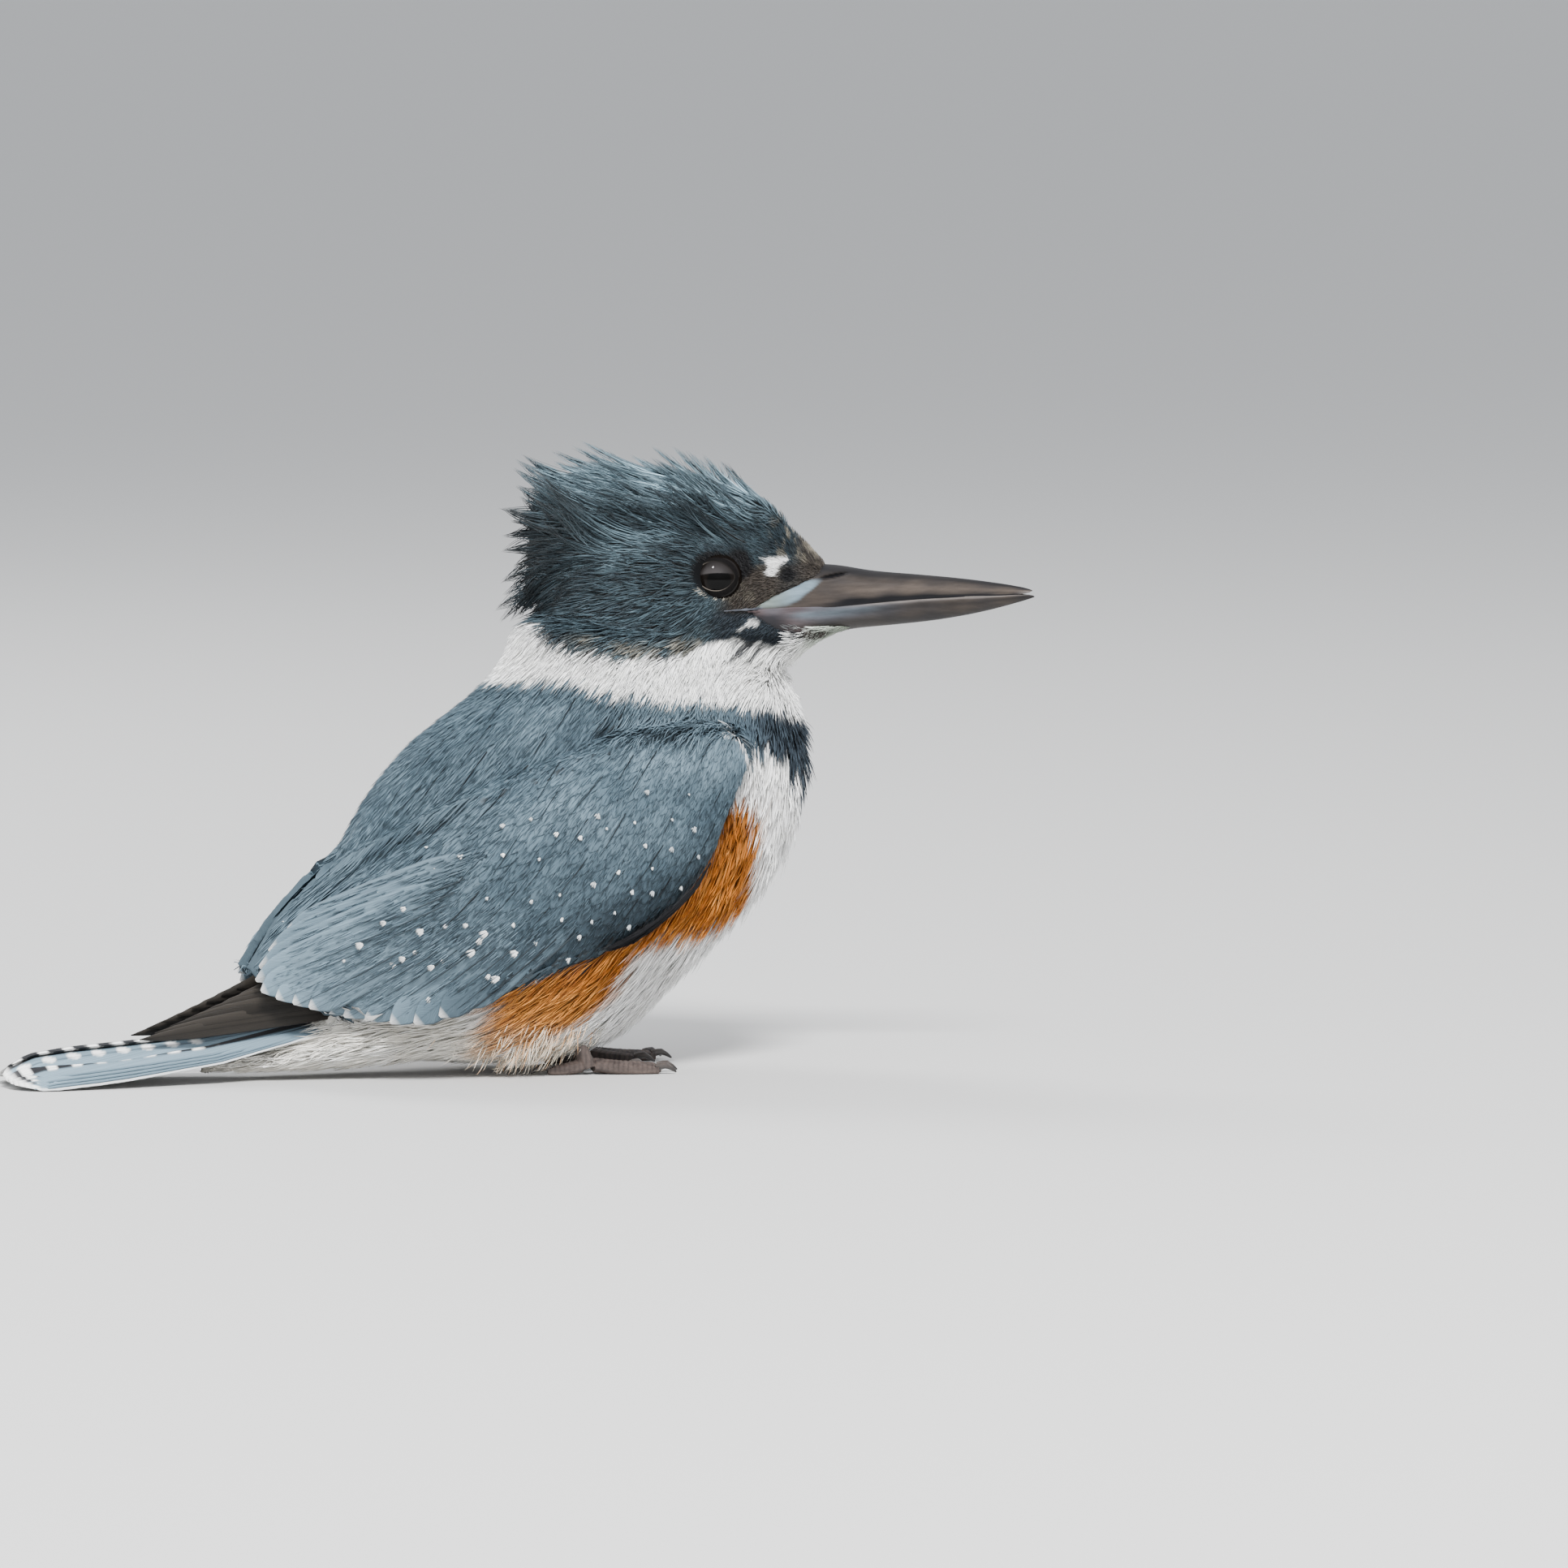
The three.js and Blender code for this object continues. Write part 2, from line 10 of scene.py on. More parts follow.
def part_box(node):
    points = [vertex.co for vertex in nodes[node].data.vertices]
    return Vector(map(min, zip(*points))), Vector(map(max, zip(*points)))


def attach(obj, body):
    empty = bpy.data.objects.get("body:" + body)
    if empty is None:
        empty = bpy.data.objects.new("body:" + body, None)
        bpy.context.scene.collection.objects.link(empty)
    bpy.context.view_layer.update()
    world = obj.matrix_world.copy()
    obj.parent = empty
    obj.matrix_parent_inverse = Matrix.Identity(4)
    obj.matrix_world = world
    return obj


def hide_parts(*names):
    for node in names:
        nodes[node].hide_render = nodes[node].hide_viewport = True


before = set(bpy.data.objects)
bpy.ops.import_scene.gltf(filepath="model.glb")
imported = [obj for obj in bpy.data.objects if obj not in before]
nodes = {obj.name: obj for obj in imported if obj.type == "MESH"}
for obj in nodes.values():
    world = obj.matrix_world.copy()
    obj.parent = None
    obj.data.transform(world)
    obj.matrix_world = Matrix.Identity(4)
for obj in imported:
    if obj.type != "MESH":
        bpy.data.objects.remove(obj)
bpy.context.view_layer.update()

mm = 0.001
rng = np.random.default_rng(11)
sides = {"left": 1, "right": -1}  # and which way each lies along Y


def report(stage):
    print("kingfisher:", stage)


# small sums that the rest uses
def unit(v):
    return v / np.maximum(np.linalg.norm(v, axis=-1, keepdims=True), 1e-12)


def dot(a, b):
    return np.sum(a * b, axis=-1, keepdims=True)


def ramp(low, high, v):  # 0 at low, 1 at high, eased between
    t = np.clip((v - low) / (high - low), 0, 1)
    return t * t * (3 - 2 * t)


def along(rows, v):  # reads a value off rows of (place, value)
    places, values = zip(*rows)
    return np.interp(v, places, values)


def mixed(colour, other, share):
    return colour + (other - colour) * np.clip(share, 0, 1)[..., None]


def layered(colour, *layers):  # lays each (other, share) over what is below it
    for other, share in layers:
        colour = mixed(colour, other, share)
    return colour


def hump(v, middle, width):  # 1 at the middle, falling away softly
    return np.exp(-((v - middle) / width) ** 2)


def turns(count):
    return np.linspace(0, 2 * math.pi, count, endpoint=False)


def lumps(p, size, seed):  # smooth noise from -1 to 1, its features about size mm across
    waves = np.random.default_rng(seed)
    q = p / (size * mm)
    total = np.zeros(p.shape[:-1])
    for _ in range(7):
        total += np.sin(q @ waves.normal(size=3) * 2 + waves.uniform(0, 6.28))
    return np.clip(total / 3, -1, 1)


# places, all taken from the frame
def middleOf(solid):
    low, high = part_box(solid)
    return (np.array(low) + np.array(high)) / 2


eyeMiddle = (middleOf("eye_left") + middleOf("eye_right")) / 2
headLeft = unit(middleOf("eye_left") - middleOf("eye_right"))
headUp = np.array([0.0, 0.0, 1.0])
headAhead = np.cross(headLeft, headUp)
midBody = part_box("trunk")[1][0] - 61.5 * mm  # along X: the feet stand just ahead of it


def fromHead(x, y, z):  # mm ahead of, left of and above the point between the eyes
    x, y, z = np.broadcast_arrays(np.asarray(x, float), y, z)
    return eyeMiddle + mm * (x[..., None] * headAhead + y[..., None] * headLeft + z[..., None] * headUp)


def toHead(p):
    q = (p - eyeMiddle) / mm
    return q @ headAhead, q @ headLeft, q @ headUp


def fromBody(x, y, z):  # mm ahead of the mid body, left of the middle plane, above the floor
    x, y, z = np.broadcast_arrays(np.asarray(x, float), y, z)
    return np.stack([x * mm + midBody, y * mm, z * mm], -1)


def toBody(p):
    return (p[..., 0] - midBody) / mm, p[..., 1] / mm, p[..., 2] / mm


# camera
cameraPlan = {"turn": -15, "rise": 5, "distance": 2.5, "width": 0.3864, "across": 0.0532, "up": 0.0702}


def makeCamera(plan):
    a, e = math.radians(plan["turn"]), math.radians(plan["rise"])
    back = Vector((math.sin(a) * math.cos(e), -math.cos(a) * math.cos(e), math.sin(e)))
    turned = (-back).to_track_quat("-Z", "Y")
    target = Vector((midBody, 0, 0)) + turned @ Vector((plan["across"], plan["up"], 0))
    data = bpy.data.cameras.new("camera")
    data.sensor_width = 36
    data.lens = 36 * plan["distance"] / plan["width"]
    data.clip_start, data.clip_end = 0.1, 200
    camera = bpy.data.objects.new("camera", data)
    bpy.context.collection.objects.link(camera)
    camera.rotation_mode = "QUATERNION"
    camera.rotation_quaternion = turned
    camera.location = target + back * plan["distance"]
    bpy.context.scene.camera = camera


makeCamera(cameraPlan)

# the folded wings lie along a slope from the wrist, in mm ahead of the mid body and above the floor
wingPlan = {"wrist": (36, 80), "slope": 25}


def fromWing(s, e):  # mm back along the folded wing and mm above its line, to ahead and up
    a = math.radians(wingPlan["slope"])
    return (wingPlan["wrist"][0] - s * math.cos(a) - e * math.sin(a),
            wingPlan["wrist"][1] - s * math.sin(a) + e * math.cos(a))


def toWing(p):
    x, _, z = toBody(p)
    a = math.radians(wingPlan["slope"])
    x, z = wingPlan["wrist"][0] - x, z - wingPlan["wrist"][1]
    return x * math.cos(a) - z * math.sin(a), x * math.sin(a) + z * math.cos(a)


def backLine(x):
    return along([(-100, 10), (-60, 16), (-48, 20), (-34, 34), (-20, 60), (24, 78), (40, 80)], x)


# the plumage's colours: one rule for the skin and for every feather on it
tints = {
    "cap": (0.040, 0.062, 0.075), "capLight": (0.105, 0.155, 0.182), "capDark": (0.010, 0.014, 0.018),
    "back": (0.074, 0.113, 0.142), "backLight": (0.118, 0.170, 0.207), "backDark": (0.030, 0.048, 0.063),
    "white": (0.90, 0.90, 0.88), "cream": (0.76, 0.71, 0.60), "vent": (0.72, 0.69, 0.62),
    "rufous": (0.40, 0.125, 0.014), "rufousPale": (0.68, 0.31, 0.075), "rufousDark": (0.18, 0.05, 0.009),
    "buff": (0.30, 0.27, 0.21), "bronze": (0.028, 0.023, 0.019), "black": (0.005, 0.005, 0.006),
    "band": (0.046, 0.064, 0.082), "bandDark": (0.012, 0.015, 0.020), "olive": (0.40, 0.47, 0.37),
}
tints = {name: np.array(value) for name, value in tints.items()}

# heights in mm above the floor, by the place ahead of the eye or of the mid body
collarTop = [(-51, 111), (-45, 110.2), (-39, 107), (-32, 104), (-29.5, 103.4), (-20, 102.6), (-13, 102.4),
             (-7, 103.8), (-3, 106), (1, 107), (4, 106.7), (8, 105.4), (13, 105), (18, 105.3), (40, 105.3)]
collarFoot = [(-21, 97), (-3, 97.4), (8, 94), (31, 92.4), (46, 89.7), (58, 86.2)]
bandFoot = [(0, 61), (6, 65), (15, 74), (22, 77.5), (40, 78)]  # by the distance from the middle plane
# how far out the bib's edge lies, and how far ahead the flank's patch reaches, by height
bibEdge = [(24, 24), (33, 21), (37, 14), (42, 8), (46, 13.5), (58, 18.5), (66, 20.5), (70, 28)]
patchFront = [(0, -20), (8.7, -16.5), (11.9, -6.5), (16.6, 3), (24.7, 8.6), (29, 10.6), (33, 13), (40, 17)]
throatStreaks = [(12.5, -11, 3.6, -19.6, 1.5, 0.95), (5.8, -14.6, 2.8, -17.4, 0.55, 0.8),
                 (12.2, -13.6, 7.2, -21, 0.8, 0.9), (15, -15.6, 11.2, -18.6, 0.35, 0.5),
                 (9, -11, 6.6, -14, 0.9, 0.85)]  # from and to, ahead and up, half width, how dark


def headMarks(p, z):
    hx, _, hz = toHead(p)
    fine, small, broad = lumps(p, 1.5, 1), lumps(p, 3.4, 2), lumps(p, 9, 3)
    # painted light: the cap is painted lighter towards its top, as if lit from above; lit also carries
    # random mottling
    paintedTopLight = 0.1 * ramp(2, 12, hz) + 0.9 * ramp(12, 24, hz)
    lit = -0.1 + paintedTopLight * ramp(-50, -30, hx) + 0.4 * broad + 0.25 * small
    hollow = np.hypot((hx - 4.9) / 3.9, (hz - 3.4) / 3.7) + 0.12 * small  # the black just ahead of the eye
    lid = np.hypot((hx + 1) / 5.9, (hz - 1.2) / 5.0) + 0.06 * small
    mask = np.maximum(ramp(1.2, 0.75, hollow), ramp(1.12, 0.95, lid) * ramp(-7.5, -3, hx + 0.5 * hz) * 0.9)
    around = np.hypot(hx + 0.8, 1.15 * (hz - 0.9)) + 0.5 * broad
    lores = ramp(-3, 4, hx) * ramp(3.2, 0.4, hz - 0.12 * hx + small) * ramp(-9.5, -8, hz)
    bristle = ramp(0.2, 0.8, lumps(p * [1, 1, 0.25], 1.0, 12)) * ramp(11, 17, hx) * ramp(2, 6, hz)
    rusty = np.hypot((hx - 22) / 3.2, (hz - 5.5) / 2.2)
    wedge = np.abs(hx - 13 - 0.2 * hz) - 0.6 - 0.48 * hz + 0.5 * fine  # ragged and white, over the lores
    pit = np.hypot(hx - 17.0, hz - 0.8) / 1.7
    colour = layered(
        tints["cap"] * (0.62 + 0.4 * ramp(0, -9, hz))[:, None] + 0 * p,
        (tints["capLight"], lit),
        # painted light: a lighter tone laid over the top of the head
        (tints["capLight"] * 1.6, ramp(11, 25, hz) * (0.55 + 0.3 * small)),
        (tints["capDark"], ramp(0.1, 0.9, fine) * 0.55),
        (tints["capDark"], ramp(-26, -40, hx) * 0.4),
        (tints["capDark"], ramp(-6, -12, hz) * ramp(14, -8, hx) * 0.12),
        (tints["bronze"] * 1.3, lores),
        (tints["buff"] * 0.3, lores * ramp(0.1, 0.8, fine) * 0.5),
        (tints["black"], mask),
        (tints["bandDark"] * 1.3, ramp(-7.0, -8.6, hz) * ramp(-5, 2, hx) * 0.8),
        (tints["capDark"] * 1.6, ramp(12, 19, hx + 0.25 * hz) * 0.5),
        (tints["bronze"] * 1.7, ramp(17, 22, hx) * 0.8),
        (tints["buff"] * 0.7, bristle * 0.6),
        (tints["black"] * 0.8, ramp(7.0, 5.4, around) * 0.9),
        (tints["buff"] * 0.7, ramp(1.1, 0.4, rusty) * ramp(-0.2, 0.6, fine) * 0.6),
        (tints["white"], ramp(0.3, -0.3, wedge) * ramp(0, 0.6, hz + 0.3 * fine) * ramp(5.3, 4.4, hz)),
        (tints["black"], ramp(1.3, 0.8, pit)))
    for ahead, up in ((-5.6, -2.6), (-4.3, -3.3), (-3.0, -3.9), (-0.7, -4.5), (1.1, -4.4)):
        fleck = np.hypot((hx - ahead) / 0.42, (hz - up) / 0.4)
        colour = mixed(colour, tints["cream"], ramp(1.1, 0.7, fleck) * 0.6)
    d, c = (hx - 7.1) * 0.86 + (hz + 11.3) * 0.5, (hz + 11.3) * 0.86 - (hx - 7.1) * 0.5
    streak = ramp(0.8, 0.3, np.abs(c) + 0.35 * small + 0.5 * fine) * ramp(3.2, 1.6, np.abs(d))
    top = along(collarTop, hx) + 0.9 * small
    fringe = ramp(5, 0.5, z - top) * ramp(-38, -30, hx) * ramp(0, -8, hx)
    colour = layered(colour, (tints["white"], streak * 0.85), (tints["buff"], fringe * (0.35 + 0.5 * fine)))
    return colour, ramp(-0.7, 0.7, z - top)


def collarMarks(p):
    hx, _, hz = toHead(p)
    white = mixed(tints["white"] + 0 * p, tints["olive"], ramp(17, 25, hx) * ramp(-8, -12, hz) * 0.6)
    ragged = 0.3 * lumps(p, 1.1, 5) + 0.25 * lumps(p, 2.6, 4)
    for x0, z0, x1, z1, wide, dark in throatStreaks:
        long = math.hypot(x1 - x0, z1 - z0)
        onLine = ((hx - x0) * (x1 - x0) + (hz - z0) * (z1 - z0)) / long
        off = np.abs((hx - x0) * (z1 - z0) - (hz - z0) * (x1 - x0)) / long
        ends = ramp(-1, 0.4, onLine) * ramp(long + 1, long - 1.2, onLine)
        taper = wide * (1 - 0.6 * np.clip(onLine / long, 0, 1))
        white = mixed(white, tints["bandDark"], ramp(0.3, -0.3, off - taper + ragged) * ends * dark)
    under = hz - along([(8, -8.3), (10.9, -8.3), (12.7, -9.6), (15.6, -12.0), (18.5, -12.0), (20.6, -11.3),
                        (23, -10.2), (34, -9.4)], hx)
    return mixed(white, tints["bandDark"], ramp(-1.6, -0.5, under + 2 * ragged) * ramp(9, 12, hx) * 0.9)


def breastMarks(p, x, y, z):
    side = np.abs(y)
    fine, broad = lumps(p, 1.8, 6), lumps(p, 6, 7)
    band = mixed(tints["band"] + 0 * p, tints["back"], ramp(50, 34, x) * 0.8 + 0.15 * broad)
    band = mixed(band, tints["bandDark"], ramp(40, 54, x) * (0.55 + 0.45 * fine))
    ragged = lumps(p * [1, 1, 0.2], 2.2, 13)
    colour = mixed(tints["white"] + 0 * p, band, ramp(-1.2, 1.2, z - along(bandFoot, side) + 4 * ragged))
    bib = ramp(-1.5, 1.5, side - along(bibEdge, z) + 1.5 * fine) * ramp(32.5, 36.5, z) * ramp(74, 69, z)
    patch = ramp(2.5, -2.5, x - along(patchFront, z) + 2 * fine) * ramp(-30, -21, x + 3 * broad)
    patch = patch * ramp(3, 7, z + broad) * ramp(41, 37, z - 0.1 * x) * ramp(7, 13, side)
    rufous = layered(
        tints["rufous"] + 0 * p,
        (tints["rufousPale"], 0.15 + 0.4 * fine),
        (tints["rufousPale"], np.maximum(ramp(-12, -26, x) * 0.6, ramp(34, 8, z) * 0.75)),
        (tints["rufousDark"], np.maximum(ramp(0, 1, -fine) * 0.45, ramp(44, 62, z) * 0.45)))
    return layered(
        colour,
        (rufous, np.clip(bib + patch, 0, 1)),
        (tints["cream"], ramp(18, 8, z) * ramp(10, 0, x) * 0.35 * (1 + broad)),
        (tints["vent"], ramp(-22, -34, x) * (0.6 + 0.3 * broad)))


# lines on the near side of each wing, ahead and up
wingBend = [(32.5, 85.5), (35, 82.5), (37.6, 77), (37.4, 71)]
# along the shoulder's fold the coat gets painted shade
shoulderFold = [(2, 86.5), (8.5, 84.6), (20.3, 83.8), (26.3, 85.8), (30.2, 86.5), (34.4, 85.7), (37, 81)]


def fromLine(x, z, line):  # mm from a line of points, seen from the side
    gaps = []
    for (x0, z0), (x1, z1) in zip(line[:-1], line[1:]):
        t = np.clip(((x - x0) * (x1 - x0) + (z - z0) * (z1 - z0)) / ((x1 - x0) ** 2 + (z1 - z0) ** 2), 0, 1)
        gaps.append(np.hypot(x - x0 - t * (x1 - x0), z - z0 - t * (z1 - z0)))
    return np.min(gaps, 0)


def markings(p, wing):  # wing is 1 on the folded wings, 0 elsewhere
    x, y, z = toBody(p)
    s, e = toWing(p)
    fine, broad, small = lumps(p, 2.2, 8), lumps(p, 12, 9), lumps(p, 3, 10)
    bands = lumps(np.stack([0.83 * x - 0.55 * z, (0.55 * x + 0.83 * z) / 4, 0 * x], -1) * mm, 4, 14)
    foldShadeDistance = fromLine(x, z, shoulderFold) + 0.5 * fine
    bend = fromLine(x, z, wingBend) + 0.1 * fine
    # the hem: a dark feather edge along the wing's lower front, with painted shadow under the wing
    hemAndShadow = ramp(0, 1.8, along([(8, -14.5), (22, -20.6), (28, -24), (40, -26.4), (56, -28)], s) - e)
    back = layered(
        tints["back"] + 0 * p,
        (tints["backLight"], 0.3 + 0.4 * broad + 0.15 * fine),
        (tints["backDark"], 0.2 + 0.3 * fine),
        (tints["backLight"] * 1.15, bands * 0.35),
        (tints["backDark"], -bands * 0.3),
        (tints["backLight"] * 1.1, ramp(72, 80, z) * ramp(2, 14, x) * 0.5),
        # darker teal along the wing's lower front edge, partly its own colour and partly painted shadow
        (tints["backDark"] * 0.6, ramp(-9, -24, e) * ramp(80, 46, s) * 0.92 * wing),
        # painted shade: a dark soft line along the shoulder's fold, the shadow under its overhang
        (tints["backDark"] * 0.35, ramp(1.6, 0.3, foldShadeDistance) * ramp(9, 13, np.abs(y)) * 0.8),
        # painted shadow: black along the hem, partly the dark feather edge
        (tints["black"] * 1.6, hemAndShadow * ramp(60, 52, s) * ramp(8, 20, s) * 0.9 * wing),
        (tints["backLight"] * 1.4, ramp(74, 118, s) * 0.6 * wing),
        (tints["white"], ramp(0.5, 0.2, bend) * 0.7 * ramp(12, 15, np.abs(y))))
    onBack = np.clip(np.maximum(wing, ramp(-3, 3, z - backLine(x)) * ramp(38, 30, x)), 0, 1)
    onCollar = ramp(-0.6, 0.6, z - along(collarFoot, x) - 0.8 * small) * (1 - wing)
    cap, onCap = headMarks(p, z)
    return layered(breastMarks(p, x, y, z), (back, onBack), (collarMarks(p), onCollar), (cap, onCap))


# meshes and materials
def meshPiece(name, verts, faces, material, smooth=True):
    mesh = bpy.data.meshes.new(name)
    sizes = [np.full(len(f), f.shape[1]) for f in faces]
    loops = np.concatenate([f.ravel() for f in faces])
    counts = np.concatenate(sizes)
    mesh.vertices.add(len(verts))
    mesh.vertices.foreach_set("co", np.ascontiguousarray(verts, dtype=np.float32).ravel())
    mesh.loops.add(len(loops))
    mesh.loops.foreach_set("vertex_index", loops.astype(np.int32))
    mesh.polygons.add(len(counts))
    mesh.polygons.foreach_set("loop_start", (np.cumsum(counts) - counts).astype(np.int32))
    mesh.update(calc_edges=True)
    mesh.polygons.foreach_set("use_smooth", np.full(len(counts), smooth))
    piece = bpy.data.objects.new(name, mesh)
    bpy.context.collection.objects.link(piece)
    mesh.materials.append(material)
    return piece


def dress(piece, replaced=()):
    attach(piece, "root")
    if replaced:
        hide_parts(*replaced)


def paint(piece, name, values, kind="FLOAT_COLOR"):
    attribute = piece.data.attributes.new(name, kind, "POINT")
    if kind == "FLOAT_COLOR":
        values = np.concatenate([values, np.ones((len(values), 1))], 1)
        attribute.data.foreach_set("color", values.astype(np.float32).ravel())
    else:
        attribute.data.foreach_set("vector", values.astype(np.float32).ravel())


def feed(tree, made, inputs):  # each input, by name or place, gets a constant or the output that drives it
    for name, value in inputs.items():
        if isinstance(value, bpy.types.NodeSocket):
            tree.links.new(value, made.inputs[name])
        else:
            made.inputs[name].default_value = value


def node(tree, kind, inputs={}, **settings):
    made = tree.nodes.new(kind)
    for name, value in settings.items():
        setattr(made, name, value)
    feed(tree, made, inputs)
    return made


def painted(tree, name, output="Color"):
    return node(tree, "ShaderNodeAttribute", attribute_name=name).outputs[output]


def maths(tree, operation, *terms):
    return node(tree, "ShaderNodeMath", dict(enumerate(terms)), operation=operation).outputs[0]


def scaled(tree, colour, factor):
    return node(tree, "ShaderNodeVectorMath", {0: colour, "Scale": factor}, operation="SCALE").outputs[0]


def ranged(tree, value, fromMin, fromMax, toMin, toMax):
    return node(tree, "ShaderNodeMapRange", {"Value": value, "From Min": fromMin, "From Max": fromMax,
                                             "To Min": toMin, "To Max": toMax}).outputs[0]


def bumped(tree, height, strength):
    bump = node(tree, "ShaderNodeBump", {"Height": height, "Strength": strength, "Distance": 0.1 * mm})
    return bump.outputs["Normal"]


def principled(name, inputs):
    material = bpy.data.materials.new(name)
    material.use_nodes = True
    tree = material.node_tree
    shader = tree.nodes["Principled BSDF"]
    feed(tree, shader, inputs)
    return material, tree, shader


def shaderGroup(name, inputs, outputs):  # sockets as name and kind
    group = bpy.data.node_groups.new(name, "ShaderNodeTree")
    for way, sockets in (("INPUT", inputs), ("OUTPUT", outputs)):
        for label, kind in sockets.items():
            group.interface.new_socket(label, in_out=way, socket_type="NodeSocket" + kind)
    return group, node(group, "NodeGroupInput").outputs, node(group, "NodeGroupOutput")


def barbGroup():  # fine barbs on both sides of a shaft, for every feather
    group, start, end = shaderGroup("barbs", {"Colour": "Color", "Barb depth": "Float", "Shaft": "Float"},
                                    {"Colour": "Color", "Height": "Float"})
    parts = node(group, "ShaderNodeSeparateXYZ", {0: painted(group, "vane", "Vector")}).outputs
    across = maths(group, "ABSOLUTE", parts[0])
    slant = maths(group, "MULTIPLY_ADD", across, -0.35, parts[1])
    place = node(group, "ShaderNodeCombineXYZ", {0: slant, 1: parts[2]}).outputs[0]
    noise = node(group, "ShaderNodeTexNoise", {"Vector": place, "Scale": 46.0, "Detail": 2.0},
                 noise_dimensions="2D")
    height = ranged(group, noise.outputs["Fac"], 0.3, 0.7, -1.0, 1.0)
    barbed = maths(group, "MULTIPLY_ADD", height, start["Barb depth"], 1.0)
    shaft = maths(group, "MULTIPLY", ranged(group, across, 0.0, 0.07, 1.0, 0.0), start["Shaft"])
    tone = maths(group, "SUBTRACT", barbed, shaft)
    feed(group, end, {"Colour": scaled(group, start["Colour"], tone), "Height": height})
    return group


barbs = barbGroup()


def featherMaterial(name, look):
    material, tree, shader = principled(name, {"Roughness": look["roughness"], "Sheen Weight": look["sheen"],
                                               "Sheen Roughness": 0.5, "Specular IOR Level": look["gloss"]})
    fine = node(tree, "ShaderNodeGroup", {"Colour": painted(tree, "coat"), "Barb depth": look["barbs"],
                                          "Shaft": look["shaft"]}, node_tree=barbs).outputs
    feed(tree, shader, {"Base Color": fine["Colour"], "Normal": bumped(tree, fine["Height"], look["bump"])})
    return material


looks = {
    "down": {"roughness": 0.8, "sheen": 0.06, "gloss": 0.18, "barbs": 0.12, "shaft": 0.0, "bump": 0.15},
    "vanes": {"roughness": 0.72, "sheen": 0.04, "gloss": 0.2, "barbs": 0.10, "shaft": 0.25, "bump": 0.2},
    "quills": {"roughness": 0.58, "sheen": 0.03, "gloss": 0.25, "barbs": 0.14, "shaft": 0.35, "bump": 0.3},
}
downMaterial = featherMaterial("down", looks["down"])
vaneMaterial = featherMaterial("vanes", looks["vanes"])
quillMaterial = featherMaterial("quills", looks["quills"])


def skinMaterial():
    material, tree, shader = principled("skin", {"Roughness": 0.85, "Specular IOR Level": 0.2})
    grain = node(tree, "ShaderNodeTexNoise", {"Scale": 900.0, "Detail": 3.0}).outputs["Fac"]
    tone = ranged(tree, grain, 0.3, 0.7, 0.6, 0.85)
    feed(tree, shader, {"Base Color": scaled(tree, painted(tree, "coat"), tone)})
    return material


def bareBill(hx, hz):  # where horn shows through: between the two feather lines at the bill's sides
    upper = along([(1, -7.4), (9, -7.1), (11.5, -6.5), (13.4, -4.3), (16.7, -2.5), (20.7, -1.1), (24, -0.2),
                   (26, 1.6), (27.4, 4.6), (40, 9)], hx)
    lower = along([(1, -8.2), (8, -8.0), (10.9, -8.4), (12.7, -9.6), (15.6, -11.9), (22, -12.3),
                   (27.6, -12.6), (40, -15)], hx)
    return ramp(-0.4, 0.4, upper - hz) * ramp(-0.4, 0.4, hz - lower) * ramp(1.5, 3, hx)


# the skin: one closed mesh, inside the solids by the coat's depth
skinPlan = {
    "flesh": ("trunk", "rump", "neck", "head", "crest", "wing_left", "wing_right"),
    "filler": ("eye_left", "eye_right", "upper_bill", "lower_bill"),
    "swell": 0.55, "voxel": 1.05, "smoothing": 5,
    "body": 2.6, "head": 1.5, "face": 0.9, "wing": 1.3, "crest": 3.2,
    "billLine": 46.0, "horn": 1.9,  # mm ahead of the eyes where the filler ends, and its depth
}
crestCore = [(-48.6, -4.4, 15.6), (-45.6, -10.4, 22.6), (-39.6, -10.4, 26.6), (-30.6, -5.4, 28.2),
             (-18.6, 2.6, 28.6), (-6.6, 8.6, 27.2), (5.4, 12.6, 23.6), (16.4, 13.8, 16)]  # ahead, low, high


def relaxed(verts, edges, weight, rounds):  # evens a mesh out where weight is high
    a, b = edges[:, 0], edges[:, 1]
    degree = np.bincount(edges.ravel(), minlength=len(verts))[:, None]
    for _ in range(rounds):
        total = np.zeros_like(verts)
        for axis in range(3):
            for here, there in ((a, b), (b, a)):
                total[:, axis] += np.bincount(here, verts[there, axis], len(verts))
        verts = verts + (total / degree - verts) * 0.5 * weight[:, None]
    return verts


def meshArrays(mesh):
    verts = np.empty(len(mesh.vertices) * 3, np.float32)
    mesh.vertices.foreach_get("co", verts)
    normals = np.empty(len(mesh.vertices) * 3, np.float32)
    mesh.vertices.foreach_get("normal", normals)
    return verts.reshape(-1, 3).astype(float), normals.reshape(-1, 3).astype(float)


def moveVerts(mesh, verts):
    mesh.vertices.foreach_set("co", verts.astype(np.float32).ravel())
    mesh.update()


def weldedCopy(solid, swell=0.0):
    bm = bmesh.new()
    bm.from_mesh(nodes[solid].data)
    bmesh.ops.remove_doubles(bm, verts=bm.verts, dist=0.01 * mm)
    bm.normal_update()
    for v in bm.verts:
        v.co += v.normal * swell * mm
    return bm


def withoutLocks(bm):  # draws the crest's locks in, so that only its body is left
    places, low, high = zip(*crestCore)
    for v in bm.verts:
        hx, hy, hz = toHead(np.array(v.co))
        hx = max(hx, places[0])
        hz = min(max(hz, np.interp(hx, places, low)), np.interp(hx, places, high))
        v.co = fromHead(hx, hy, hz)
    return bm


def applyModifiers(piece):
    graph = bpy.context.evaluated_depsgraph_get()
    done = bpy.data.meshes.new_from_object(piece.evaluated_get(graph))
    piece.modifiers.clear()
    piece.data = done


